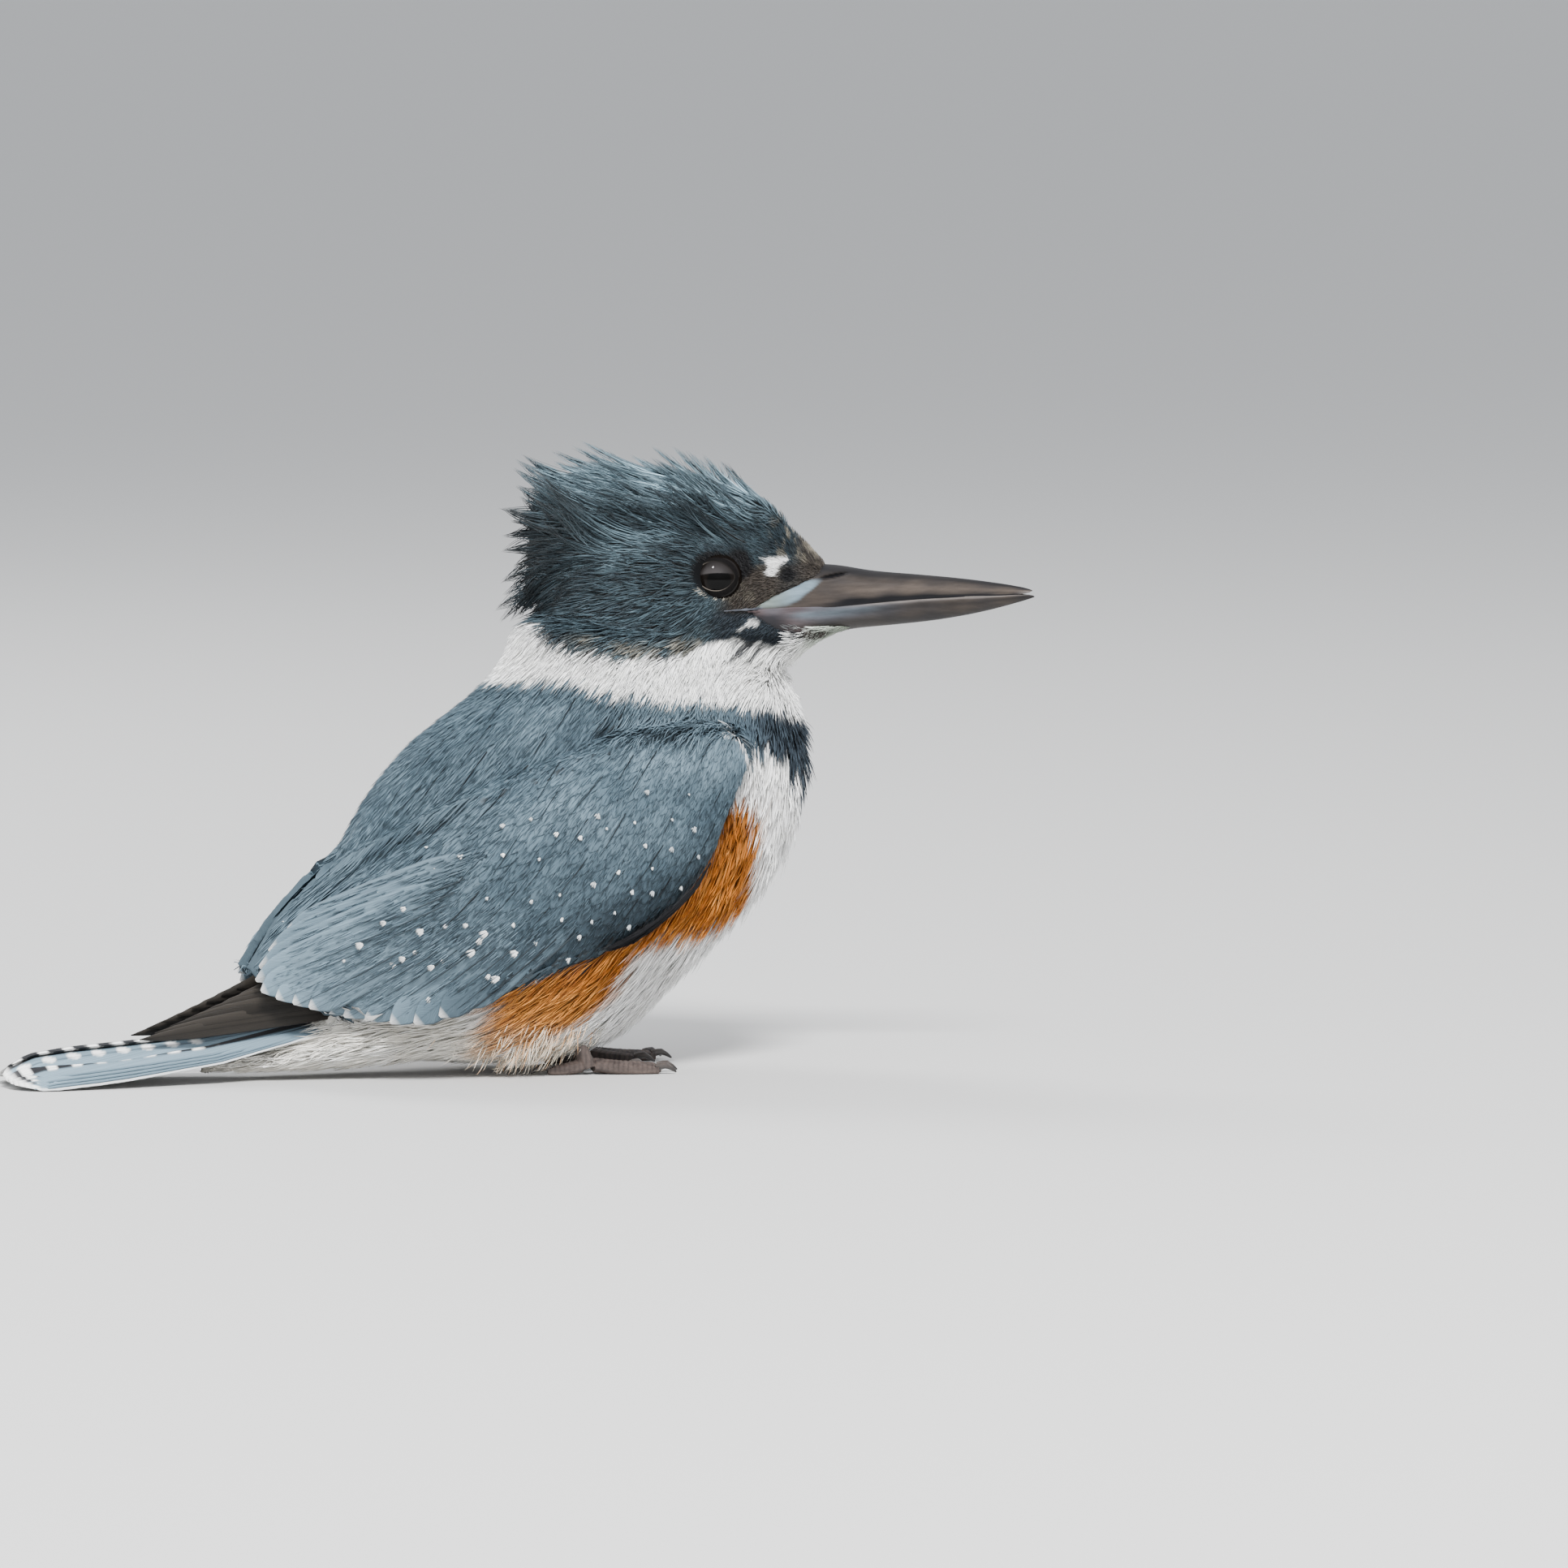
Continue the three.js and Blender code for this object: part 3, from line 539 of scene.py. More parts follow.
def remeshed(name, bmeshes, voxel, smoothing, material):
    mesh = bpy.data.meshes.new(name)
    whole = bmesh.new()
    for bm in bmeshes:
        part = bpy.data.meshes.new("part")
        bm.to_mesh(part)
        whole.from_mesh(part)
        bpy.data.meshes.remove(part)
        bm.free()
    whole.to_mesh(mesh)
    whole.free()
    piece = bpy.data.objects.new(name, mesh)
    bpy.context.collection.objects.link(piece)
    remesh = piece.modifiers.new("remesh", "REMESH")
    remesh.mode = "VOXEL"
    remesh.voxel_size = voxel * mm
    smooth = piece.modifiers.new("smooth", "SMOOTH")
    smooth.factor, smooth.iterations = 0.5, smoothing
    applyModifiers(piece)
    done = piece.data
    done.name = name
    bpy.data.meshes.remove(mesh)
    done.materials.clear()
    done.materials.append(material)
    done.polygons.foreach_set("use_smooth", np.full(len(done.polygons), True))
    return piece


def treeOf(solid):
    mesh = nodes[solid].data
    return BVHTree.FromPolygons([v.co for v in mesh.vertices], [list(p.vertices) for p in mesh.polygons])


def distanceTo(points, *solids):  # mm to the nearest of the solids
    trees = [treeOf(solid) for solid in solids]
    return np.min([[tree.find_nearest(Vector(p))[3] for p in points] for tree in trees], 0) / mm


def makeSkin(plan):
    line = Vector(fromHead(plan["billLine"], 0, 0))
    parts = [weldedCopy(n, plan["swell"]) for n in plan["flesh"]]
    for n in plan["filler"]:
        bm = weldedCopy(n)
        if "bill" in n:
            cut = bmesh.ops.bisect_plane(bm, geom=bm.verts[:] + bm.edges[:] + bm.faces[:], plane_co=line,
                                         plane_no=Vector(headAhead), clear_outer=True)
            rim = [e for e in cut["geom_cut"] if isinstance(e, bmesh.types.BMEdge)]
            bmesh.ops.edgeloop_fill(bm, edges=rim)
        parts.append(bm)
    withoutLocks(parts[plan["flesh"].index("crest")])
    piece = remeshed("skin", parts, plan["voxel"], plan["smoothing"], skinMaterial())
    mesh = piece.data
    verts, _ = meshArrays(mesh)
    edges = np.empty(len(mesh.edges) * 2, np.int32)
    mesh.edges.foreach_get("vertices", edges)
    edges = edges.reshape(-1, 2)
    wing = ramp(-0.3, 0.3, distanceTo(verts, "trunk", "rump") - distanceTo(verts, "wing_left", "wing_right"))
    crest = ramp(-1, 1, distanceTo(verts, "head") - distanceTo(verts, "crest"))
    hx, _, hz = toHead(verts)
    face = ramp(-6, 4, hx) * ramp(-30, -24, hz)
    head = ramp(-18, -12, hz) * ramp(-60, -50, hx) * ramp(-1, 1, verts[:, 2] / mm - 96)
    depth = plan["body"] + (plan["wing"] - plan["body"]) * wing
    depth = depth + (plan["head"] - depth) * head
    depth = depth + (plan["face"] - depth) * face * head
    depth = depth + (plan["crest"] - depth) * crest * ramp(12, 2, hx)
    bare = np.maximum(ramp(27, 31, hx), bareBill(hx, hz) * ramp(8, 12, hx)) * head
    depth = depth + (plan["horn"] - depth) * bare
    verts = relaxed(verts, edges, crest, 16)
    moveVerts(mesh, verts)
    _, normals = meshArrays(mesh)
    verts -= normals * (depth + plan["swell"])[:, None] * mm
    moveVerts(mesh, relaxed(verts, edges, np.ones(len(verts)), 3))
    return piece, wing


def unwrap(piece):
    bpy.context.view_layer.objects.active = piece
    piece.select_set(True)
    piece.data.uv_layers.new(name="OFBake")
    bpy.ops.object.mode_set(mode="EDIT")
    bpy.ops.mesh.select_all(action="SELECT")
    bpy.ops.uv.smart_project(angle_limit=1.15, island_margin=0.004)
    bpy.ops.object.mode_set(mode="OBJECT")
    piece.select_set(False)


skin, skinWing = makeSkin(skinPlan)
skin.modifiers.new("triangles", "TRIANGULATE")
applyModifiers(skin)
unwrap(skin)
skinVerts, skinNormals = meshArrays(skin.data)
skinTris = np.empty(len(skin.data.polygons) * 3, np.int32)
skin.data.loops.foreach_get("vertex_index", skinTris)
skinTris = skinTris.reshape(-1, 3)
skinUv = np.empty(len(skin.data.loops) * 2, np.float32)
skin.data.uv_layers["OFBake"].data.foreach_get("uv", skinUv)
skinUv = skinUv.reshape(-1, 3, 2)
skinTree = BVHTree.FromPolygons(skinVerts.tolist(), skinTris.tolist())
skinColours = markings(skinVerts, skinWing)
skinColours *= 0.55 + 0.45 * ramp(0.2, 0.5, skinColours.mean(1, keepdims=True))  # painted shade: darker under the dark coat, as skin shaded by the feathers over it
paint(skin, "coat", skinColours)
dress(skin, skinPlan["flesh"])
report("skin with %d faces" % len(skinTris))


# growing: roots on the skin, paths that follow the lie of the coat, and the tufts along them
def land(points):  # nearest places on the skin, with its smooth normals, unwrap and wing share there
    found = [skinTree.find_nearest(p) for p in points.tolist()]
    place = np.array([f[0] for f in found])
    face = np.array([f[2] for f in found])
    a, b, c = (skinVerts[skinTris[face, i]] for i in range(3))
    whole = np.cross(b - a, c - a)
    area = np.maximum(dot(whole, whole), 1e-20)
    u = dot(np.cross(c - b, place - b), whole) / area
    v = dot(np.cross(a - c, place - c), whole) / area
    share = np.clip(np.concatenate([u, v, 1 - u - v], 1), 0, 1)
    share /= share.sum(1, keepdims=True)
    normal = unit(np.einsum("ni,nij->nj", share, skinNormals[skinTris[face]]))
    uv = np.einsum("ni,nij->nj", share, skinUv[face])
    wing = np.einsum("ni,ni->n", share, skinWing[skinTris[face]])
    return place, normal, uv, wing


def lie(p, wing):  # which way the feathers point, before it is laid on the surface
    x, y, z = toBody(p)
    hx, _, hz = toHead(p)
    rise = along([(-30, -0.95), (-18, -0.75), (-12, -0.4), (-4, -0.16), (4, 0), (12, 0.12), (24, 0.16)], hz)
    rise = rise + 0.75 * ramp(12, 20, hx) * ramp(2, 7, hz)
    rise = rise - 0.35 * ramp(4, 14, hx) * ramp(-6, -12, hz)
    head = -headAhead + rise[:, None] * headUp
    gap = np.stack([hx, hz], 1) / 9
    away = np.exp(-dot(gap, gap)) * 1.2 * unit(gap)
    head = unit(head) + away[:, :1] * headAhead + away[:, 1:] * headUp
    neck = -(0.42 + 0.75 * ramp(-4, 8, hx))[:, None] * headAhead - 0.9 * headUp
    breast = np.stack([along([(8, -0.95), (30, -0.75), (60, -0.5)], z), 0.06 * np.sign(y),
                       along([(4, -0.3), (20, -0.62), (50, -0.88)], z)], 1)
    vent = np.array([-1, 0, -0.22])
    back = np.stack([along([(-60, -0.88), (-20, -0.62), (20, -0.5)], x), 0 * x,
                     along([(-60, -0.46), (-20, -0.76), (20, -0.86)], x)], 1)
    back[:, 1] += 0.25 * np.sign(y) * ramp(0, 10, np.abs(y)) * (1 - wing)
    onBack = np.maximum(wing, ramp(-4, 4, z - backLine(x)) * ramp(44, 34, x))
    onNeck = ramp(-4, 2, z - along(collarFoot, x)) * (1 - wing)
    onHead = ramp(-4, 3, z - along(collarTop, hx)) * ramp(-75, -60, hx)
    return layered(breast, (vent, ramp(-22, -40, x)), (back, onBack), (neck, onNeck), (head, onHead))


def roots(count, chance):  # places on the skin, spread evenly, thick where chance is high
    a, b, c = (skinVerts[skinTris[:, i]] for i in range(3))
    middle = (a + b + c) / 3
    wing = skinWing[skinTris].mean(1)
    facing = np.cross(b - a, c - a)
    area = np.linalg.norm(facing, axis=1) / 2
    weight = np.cumsum(area * chance(middle, wing, unit(facing)))
    picks = (np.arange(count) + rng.random(count)) / count * weight[-1]
    face = np.minimum(np.searchsorted(weight, picks), len(weight) - 1)
    u, v = rng.random((2, count))
    over = u + v > 1
    u, v = np.where(over, 1 - u, u)[:, None], np.where(over, 1 - v, v)[:, None]
    return a[face] + u * (b - a)[face] + v * (c - a)[face]


def treeFrom(points):
    tree = KDTree(len(points))
    for i, p in enumerate(points.tolist()):
        tree.insert(p, i)
    tree.balance()
    return tree


def thinned(points, spacing):  # drops roots that crowd a neighbour; spacing in mm for each
    tree = treeFrom(points)
    kept = np.ones(len(points), bool)
    for i, p in enumerate(points.tolist()):
        if kept[i]:
            for _, j, _ in tree.find_range(p, spacing[i] * mm):
                if j != i:
                    kept[j] = False
    return points[kept]


def trace(start, reach, steps, sway=0.0):  # paths over the skin from each root, reach mm long
    place, normal, uv, wing = land(start)
    turn = rng.normal(0, sway, len(start))[:, None] if sway else 0
    places, normals = [place], [normal]
    for _ in range(steps - 1):
        way = lie(place, wing)
        way = unit(way - dot(way, normal) * normal)
        way = unit(way + turn * np.cross(normal, way))
        place, normal, _, _ = land(place + way * (reach / (steps - 1))[:, None] * mm)
        places.append(place)
        normals.append(normal)
    return np.stack(places, 1), np.stack(normals, 1), uv, wing


def gathered(places, size, share):  # draws the tips of near tufts together into locks
    tree = treeFrom(thinned(places[:, 0], np.full(len(places), size)))
    home = np.array([tree.find(p)[0] for p in places[:, 0].tolist()])
    pull = home - places[:, 0]
    run = unit(places[:, -1] - places[:, 0])
    pull = pull - dot(pull, run) * run
    grow = np.linspace(0, 1, places.shape[1])[None, :, None] ** 1.5
    return places + pull[:, None, :] * share * grow


def sweptPaths(places, normals, rise):  # lifts each path off the skin by rise, in mm at each step
    lifted = places + normals * rise[..., None] * mm
    run = np.gradient(lifted, axis=1)
    across = unit(np.cross(run, normals))
    return lifted, unit(np.cross(across, run)), across


def strandMesh(lifted, up, across, width, thick):  # three-sided, closed, ending in a point
    count, steps = lifted.shape[:2]
    w, t = (width * mm)[..., None], (thick * mm)[..., None]
    rings = np.stack([lifted - across * w / 2, lifted + up * t, lifted + across * w / 2], 2)[:, :-1]
    verts = np.concatenate([rings.reshape(count, -1, 3), lifted[:, -1:]], 1)
    size = verts.shape[1]
    base = np.arange(count)[:, None] * size
    ring = steps - 1
    quads = [[3 * k + i, 3 * k + (i + 1) % 3, 3 * k + 3 + (i + 1) % 3, 3 * k + 3 + i]
             for k in range(ring - 1) for i in range(3)]
    tip = [[3 * ring - 3 + i, 3 * ring - 3 + (i + 1) % 3, size - 1] for i in range(3)] + [[2, 1, 0]]
    quads = (base[:, :, None] + np.array(quads)[None]).reshape(-1, 4)
    tips = (base[:, :, None] + np.array(tip)[None]).reshape(-1, 3)
    length = np.repeat(np.arange(ring) / ring, 3)
    sideways = np.tile([-1.0, 0.0, 1.0], ring)
    vane = np.stack([np.append(sideways, 0), np.append(length, 1)], 1)
    return verts.reshape(-1, 3), [quads, tips], np.tile(vane, (count, 1)), size


vaneSection = np.array([[-1, 0.0], [-0.84, 0.5], [0, 1.0], [0.84, 0.5], [1, 0.0], [0, -0.2]])  # across, up


def vaneMesh(lifted, up, across, width, thick, camber, section=vaneSection):  # a thin closed blade
    count, steps = lifted.shape[:2]
    u, h = section[:, 0], section[:, 1]
    around = len(section)
    drop = camber * (width * mm)[..., None] * (u * u)[None, None]
    high = (thick * mm)[..., None] * h[None, None] - drop
    wide = (width * mm)[..., None] / 2 * u[None, None]
    rings = lifted[:, :, None] + across[:, :, None] * wide[..., None] + up[:, :, None] * high[..., None]
    verts = rings.reshape(count, -1, 3)
    size = steps * around
    base = np.arange(count)[:, None] * size
    quads = [[around * k + (i + 1) % around, around * k + i, around * (k + 1) + i,
              around * (k + 1) + (i + 1) % around] for k in range(steps - 1) for i in range(around)]
    ends = [[around - 1, 2 * i, 2 * i + 1, 2 * i + 2] for i in range(around // 2 - 1)]
    ends += [[size - around + i for i in reversed(end)] for end in ends]
    quads = (base[:, :, None] + np.array(quads + ends)[None]).reshape(-1, 4)
    length = np.repeat(np.linspace(0, 1, steps), around)
    vane = np.stack([np.tile(u, steps), length], 1)
    return verts.reshape(-1, 3), [quads], np.tile(vane, (count, 1)), size


patch = 0.003  # how wide each tuft's place is on the unwrap


def coatPiece(name, made, colours, rootUv, material, replaced=(), limit=190000):
    # one piece of tufts, or several, each below the limit of triangles
    verts, faces, vane, size = made
    count = len(rootUv)
    tuftTris = sum(len(f) * (f.shape[1] - 2) for f in faces) / count
    chunks = max(1, math.ceil(count * tuftTris / limit))
    order = np.argsort(verts.reshape(count, size, 3)[:, 0, 1], kind="stable")
    luck = rng.random(count)
    for number, chosen in enumerate(np.array_split(order, chunks)):
        at = (chosen[:, None] * size + np.arange(size)).ravel()
        own = []
        for f in faces:
            each = f.reshape(count, -1, f.shape[1])
            local = each[chosen] - (chosen * size)[:, None, None]
            own.append((local + (np.arange(len(chosen)) * size)[:, None, None]).reshape(-1, f.shape[1]))
        label = name if chunks == 1 else "%s_%d" % (name, number + 1)
        piece = meshPiece(label, verts[at], own, material)
        paint(piece, "coat", colours.reshape(count * size, 3)[at])
        extra = np.concatenate([vane[at], np.repeat(luck[chosen], size)[:, None] * 40], 1)
        paint(piece, "vane", extra, "FLOAT_VECTOR")
        layer = piece.data.uv_layers.new(name="OFBake")
        corners = np.concatenate([f.ravel() for f in own])
        spot = rootUv[chosen][corners // size] + (extra[corners, :2] * [0.5, 1] - [0, 0.5]) * patch
        layer.data.foreach_set("uv", np.clip(spot, 0, 1).astype(np.float32).ravel())
        dress(piece, replaced)
    report("%s with %d tufts, %d triangles" % (name, count, count * tuftTris))


def sized(rule, p):  # a number, one for each place, or a rule that gives them
    return rule(p) if callable(rule) else np.broadcast_to(rule, len(p))


def strandCoat(name, places, normals, uv, colour, look):
    count, steps = places.shape[:2]
    t = np.linspace(0, 1, steps)[None]
    tipRise = sized(look["rise"], places[:, 0]) * rng.uniform(0.6, 1.15, count)
    base = look.get("base", -0.25)
    rise = base + (tipRise - base)[:, None] * t ** look["curve"]
    width = look["width"] * rng.uniform(0.7, 1.3, count)[:, None] * (1 - 0.75 * t ** 1.6)
    lifted, up, across = sweptPaths(places, normals, rise)
    made = strandMesh(lifted, up, across, width, 0.55 * width)
    colour = colour * look.get("tint", 1) * rng.normal(1, look["vary"], count)[:, None]
    tone = np.linspace(look["rootTone"], look["tipTone"], steps - 1)
    tone = np.append(np.repeat(tone, 3), look["tipTone"])
    colours = np.clip(colour[:, None, :] * tone[None, :, None], 0.003, 0.92)
    coatPiece(name, made, colours, uv, downMaterial)


def strands(name, chance, look):
    count = look["count"]
    start = roots(count, chance)
    size = sized(look["length"], start) * rng.uniform(0.75, 1.25, count)
    places, normals, uv, wing = trace(start, size, look["steps"], look["sway"])
    if look["lock"]:
        places = gathered(places, look["lock"], look["gather"])
    colour = markings(0.65 * start + 0.35 * places[:, -1], wing)
    strandCoat(name, places, normals, uv, colour, look)


def resampled(places, normals, shares):  # the same paths, read at other shares of their length
    at = np.array(shares) * (places.shape[1] - 1)
    low = np.minimum(at.astype(int), places.shape[1] - 2)
    part = (at - low)[None, :, None]
    pick = lambda v: v[:, low] * (1 - part) + v[:, low + 1] * part
    return pick(places), unit(pick(normals))


def vanes(name, places, normals, uv, base, look, material, replaced):
    # blades along given paths; base is each one's colour
    count = len(places)
    shares, shape = zip(*look["outline"])
    places, normals = resampled(places, normals, shares)
    t = np.array(shares)[None]
    lift = sized(look["lift"], places)[:, None] * rng.uniform(0.96, 1.04, count)[:, None]
    rise = look["base"] + (lift - look["base"]) * t ** look["curve"]
    wide = sized(look["width"], places)[:, None] * np.array(shape)[None]
    lifted, up, across = sweptPaths(places, normals, rise)
    made = vaneMesh(lifted, up, across, wide, np.full_like(wide, look["thick"]), look["camber"])
    _, _, vane, size = made
    u, v = np.abs(vane[:size, 0]), vane[:size, 1]
    tone = 1 + look["edgeTone"] * (u > 0.5) + look["tipTone"] * ramp(0.55, 1, v)
    tone = tone * (look["rootTone"] + (1 - look["rootTone"]) * ramp(0, 0.6, v))
    colours = (base * rng.normal(1, look["vary"], count)[:, None])[:, None, :] * tone[None, :, None]
    if "whiteTip" in look:
        colours = mixed(colours, tints["white"], ramp(*look["whiteTip"], v)[None])
    coatPiece(name, made, np.clip(colours, 0.004, 0.9), uv, material, replaced)


# the coat's zones, each from 0 to 1 over the skin
def headZones(p):
    hx, hy, hz = toHead(p)
    isHead = ramp(-0.8, 0.8, toBody(p)[2] - along(collarTop, hx)) * ramp(-75, -65, hx)
    eye = ramp(1.0, 1.06, np.hypot((hx + 0.9) / 4.7, (hz - 0.9) / 3.95)) + (np.abs(hy) < 6)
    clear = np.clip(eye, 0, 1) * (1 - bareBill(hx, hz)) * ramp(27.5, 26.5, hx)
    return isHead, ramp(-9, -3, hx) * ramp(15, 10, hz), clear


def capChance(p, wing, facing):
    isHead, face, clear = headZones(p)
    return isHead * (1 - face) * clear * (1 - wing)


def faceChance(p, wing, facing):
    isHead, face, clear = headZones(p)
    hx, _, hz = toHead(p)
    return isHead * face * clear * (1 + 1.2 * ramp(6, 16, hx) + 1.3 * ramp(9, 6, np.hypot(hx + 1, hz - 1)))


def collarChance(p, wing, facing):
    x, _, z = toBody(p)
    isHead, _, clear = headZones(p)
    return (1 - isHead) * clear * ramp(-1.5, 0.5, z - along(collarFoot, x)) * (1 - wing)


def breastChance(p, wing, facing):
    x, _, z = toBody(p)
    below = ramp(0.5, -0.5, z - along(collarFoot, x))
    front = np.maximum(ramp(3, -3, z - backLine(x)), ramp(22, 30, x))
    clear = 1 - ramp(-28, -36, x) * ramp(13.5, 16, z)
    return below * front * clear * (1 - wing) * (0.7 + 0.3 * ramp(-60, 10, x))


def capRise(p):
    hx, _, hz = toHead(p)
    return 1.3 + 0.9 * ramp(-16, -32, hx) + 0.2 * ramp(12, 22, hz)


def faceRise(p):
    hx, _, hz = toHead(p)
    return 0.5 + 0.7 * ramp(10, 16, hx) * ramp(4, 9, hz) + 0.5 * ramp(16, 24, hx) * ramp(-8, -12, hz)


def faceLength(p):
    hx, _, hz = toHead(p)
    near = ramp(12, 5, np.hypot(hx, hz))  # shorter close to the eye
    return along([(-8, 3.4), (2, 2.4), (12, 1.9), (24, 1.6)], hx) * (1 - 0.45 * near)


def collarRise(p):
    hx, _, hz = toHead(p)
    return 1.7 + 1.7 * ramp(6, 15, hx) * ramp(-10, -14, hz)


def breastLength(p):
    x, _, z = toBody(p)
    return along([(5, 8.5), (30, 9.5), (60, 8), (90, 6)], z) * (1 + 0.35 * ramp(-20, -45, x))


def breastRise(p):
    return 2.2 + 1.6 * np.clip(lumps(p, 3.2, 23), 0, 1) * ramp(25, 35, toBody(p)[2])


coatLooks = {  # sizes in mm; base and rise are how far the root and the tip stand off the skin
    "cap": {"count": 12200, "rise": capRise, "steps": 5,
            "length": lambda p: along([(-40, 7.5), (-15, 6.0), (0, 4.6), (20, 2.6)], toHead(p)[0]),
            "sway": 0.14, "curve": 0.9, "lock": 3.6, "gather": 0.55,
            "width": 0.34, "vary": 0.5, "rootTone": 0.55, "tipTone": 1.2},
    "face": {"count": 10500, "length": faceLength, "rise": faceRise, "steps": 4, "sway": 0.16, "curve": 0.9,
             "lock": 1.6, "gather": 0.35, "width": 0.2, "vary": 0.35, "rootTone": 0.6, "tipTone": 1.2},
    "collar": {"count": 6700, "length": 7.0, "rise": collarRise, "steps": 5, "sway": 0.08, "curve": 0.9,
               "lock": 3.0, "gather": 0.4, "width": 0.34, "vary": 0.03, "rootTone": 0.97, "tipTone": 1.03},
    "breast": {"count": 10600, "length": breastLength, "rise": breastRise, "steps": 5, "sway": 0.10,
               "curve": 0.9, "lock": 4.2, "gather": 0.5, "width": 0.44, "vary": 0.07, "rootTone": 0.88,
               "tipTone": 1.06},
    "chin": {"count": 1300, "rise": 0.9, "base": -0.3, "curve": 0.8, "width": 0.26, "vary": 0.12,
             "rootTone": 0.9, "tipTone": 1.05},
    "roof": {"count": 1900, "length": 10.0, "rise": 1.9, "steps": 6, "base": 0.6, "sway": 0.05, "curve": 0.7,
             "lock": 3.2, "gather": 0.3, "width": 0.55, "vary": 0.15, "rootTone": 0.75, "tipTone": 1.0,
             "tint": 0.8},
    "tuft": {"count": 650, "rise": 0.2, "base": -0.2, "curve": 1.0, "width": 0.27, "vary": 0.1,
             "rootTone": 0.9, "tipTone": 1.05},
}
strands("cap_feathers", capChance, coatLooks["cap"])
strands("face_feathers", faceChance, coatLooks["face"])
strands("collar_feathers", collarChance, coatLooks["collar"])
strands("breast_feathers", breastChance, coatLooks["breast"])


def makeChin():  # short feathers that run from under the bill back to the throat
    count = coatLooks["chin"]["count"]
    x = 17 + 17.3 * rng.random(count) ** 1.1
    share = rng.uniform(-1, 1, count)
    size = 3.6 * rng.uniform(0.75, 1.2, count)
    t = np.linspace(0, 1, 5)[None]
    ahead = x[:, None] - 0.82 * size[:, None] * t
    wide = along([(10, 10.5), (17, 9.6), (24, 7.4), (28, 5.4), (31, 3.6), (34.5, 0.7)], ahead)
    keel = along([(10, -24), (18, -20.9), (21, -17.9), (24.5, -15.4), (29, -13.2), (34.5, -11.6)], ahead)
    side = share[:, None] * (1 + 0.08 * t)
    up = -12.1 + (keel + 12.1) * (1 - side ** 2)
    places = fromHead(ahead, side * wide, up)
    outward = np.stack([0 * side, side, side ** 2 * 0.3 - 1], -1)
    normals = unit(outward[..., 1:2] * headLeft + outward[..., 2:] * headUp)
    _, _, uv, _ = land(places[:, 0])
    green = ramp(20, 31, toHead(places[:, 2])[0]) * rng.uniform(0.5, 1, count)
    colour = mixed(collarMarks(places[:, 2]), tints["olive"] * 0.45, green)
    strandCoat("chin_feathers", places, normals, uv, colour, coatLooks["chin"])


makeChin()


def roofChance(p, wing, facing):  # the rear wing's upper and inner side
    s, e = toWing(p)
    inner = ramp(0.55, 0.3, facing[:, 1] * np.sign(toBody(p)[1]))
    return ramp(0.4, 0.6, wing) * ramp(58, 70, s) * inner * ramp(-3, 1, e) * ramp(126, 120, s)


strands("wing_tops", roofChance, coatLooks["roof"])


def makeTufts():  # loose tips that hang from the belly over the feet
    count, steps = coatLooks["tuft"]["count"], 5
    x = rng.normal(-11, 7, count)
    z = rng.uniform(5, 13, count)
    start, normal, uv, _ = land(fromBody(x, rng.choice([-1, 1], count) * rng.uniform(9, 24, count), z))
    swing = 0.45 * lumps(start, 5, 21)
    fall = np.stack([-0.75 + swing, 0.15 * np.sign(start[:, 1]), -0.75 - 0.3 * swing], 1)
    fall = fall + rng.normal(0, 0.12, (count, 3))
    size = rng.uniform(3.5, 6.5, count) * (1 + 0.4 * lumps(start, 4, 22))
    t = np.linspace(0, 1, steps)[None, :, None]
    hang = normal[:, None] * 1.3 * np.sin(1.9 * t) + fall[:, None] * size[:, None, None] * t
    path = gathered(start[:, None] + hang * mm, 3, 0.5)
    path[..., 2] = np.maximum(path[..., 2], rng.uniform(0.5, 2.5, (count, 1)) * mm)
    rusty = rng.uniform(0, 1, count) * ramp(5, 12, z)
    colour = mixed(np.tile(tints["cream"], (count, 1)), tints["rufousPale"], rusty)
    strandCoat("belly_tufts", path, np.repeat(normal[:, None], steps, 1), uv, colour, coatLooks["tuft"])


makeTufts()

# the crest: pointed locks that leave the head and fly free
crestPlan = {
    "tips": [(-0.5, 29.0, 146, 15), (-4.5, 30.0, 150, 14), (-8.4, 31.0, 154, 16), (-12.0, 32.1, 157, 19),
             (-17.0, 32.1, 158, 20), (-22, 29.8, 160, 15), (-28, 30.4, 162, 16), (-34.8, 33.5, 161, 25),
             (-36.6, 32.0, 164, 21), (-41.9, 30.9, 167, 21), (-41.0, 28.2, 164, 14), (-49.0, 30.1, 155, 21),
             (-50.5, 28.9, 154, 22), (-50.7, 26.6, 153, 19), (-50.3, 22.4, 155, 17), (-49.2, 19.6, 156, 15),
             (-54.4, 16.8, 165, 20), (-51.5, 13.5, 172, 13), (-53.5, 9.8, 179, 17), (-54.0, 6.2, 182, 17),
             (-51.0, 2.4, 190, 13), (-54.0, -1.8, 200, 16), (-53.6, -5.0, 203, 15), (-55.4, -8.4, 206, 16),
             (-54.4, -11.6, 212, 14), (-56.6, -14.2, 216, 14)],  # ahead, up, which way in degrees, length
    "lanes": [(0, 1.0, 0.0, 36), (-2.4, 0.9, 0.5, 20), (2.4, 0.9, 0.5, 20), (-5.5, 0.9, 0.0, 24),
              (5.5, 0.9, 0.0, 24), (-9, 0.8, 0.5, 16), (9, 0.8, 0.5, 16), (-12, 0.68, 0.0, 12),
              (12, 0.68, 0.0, 12)],  # to the side, how far out, shifted by, hairs in each lock
    "middle": (-18.6, 1.6),
}


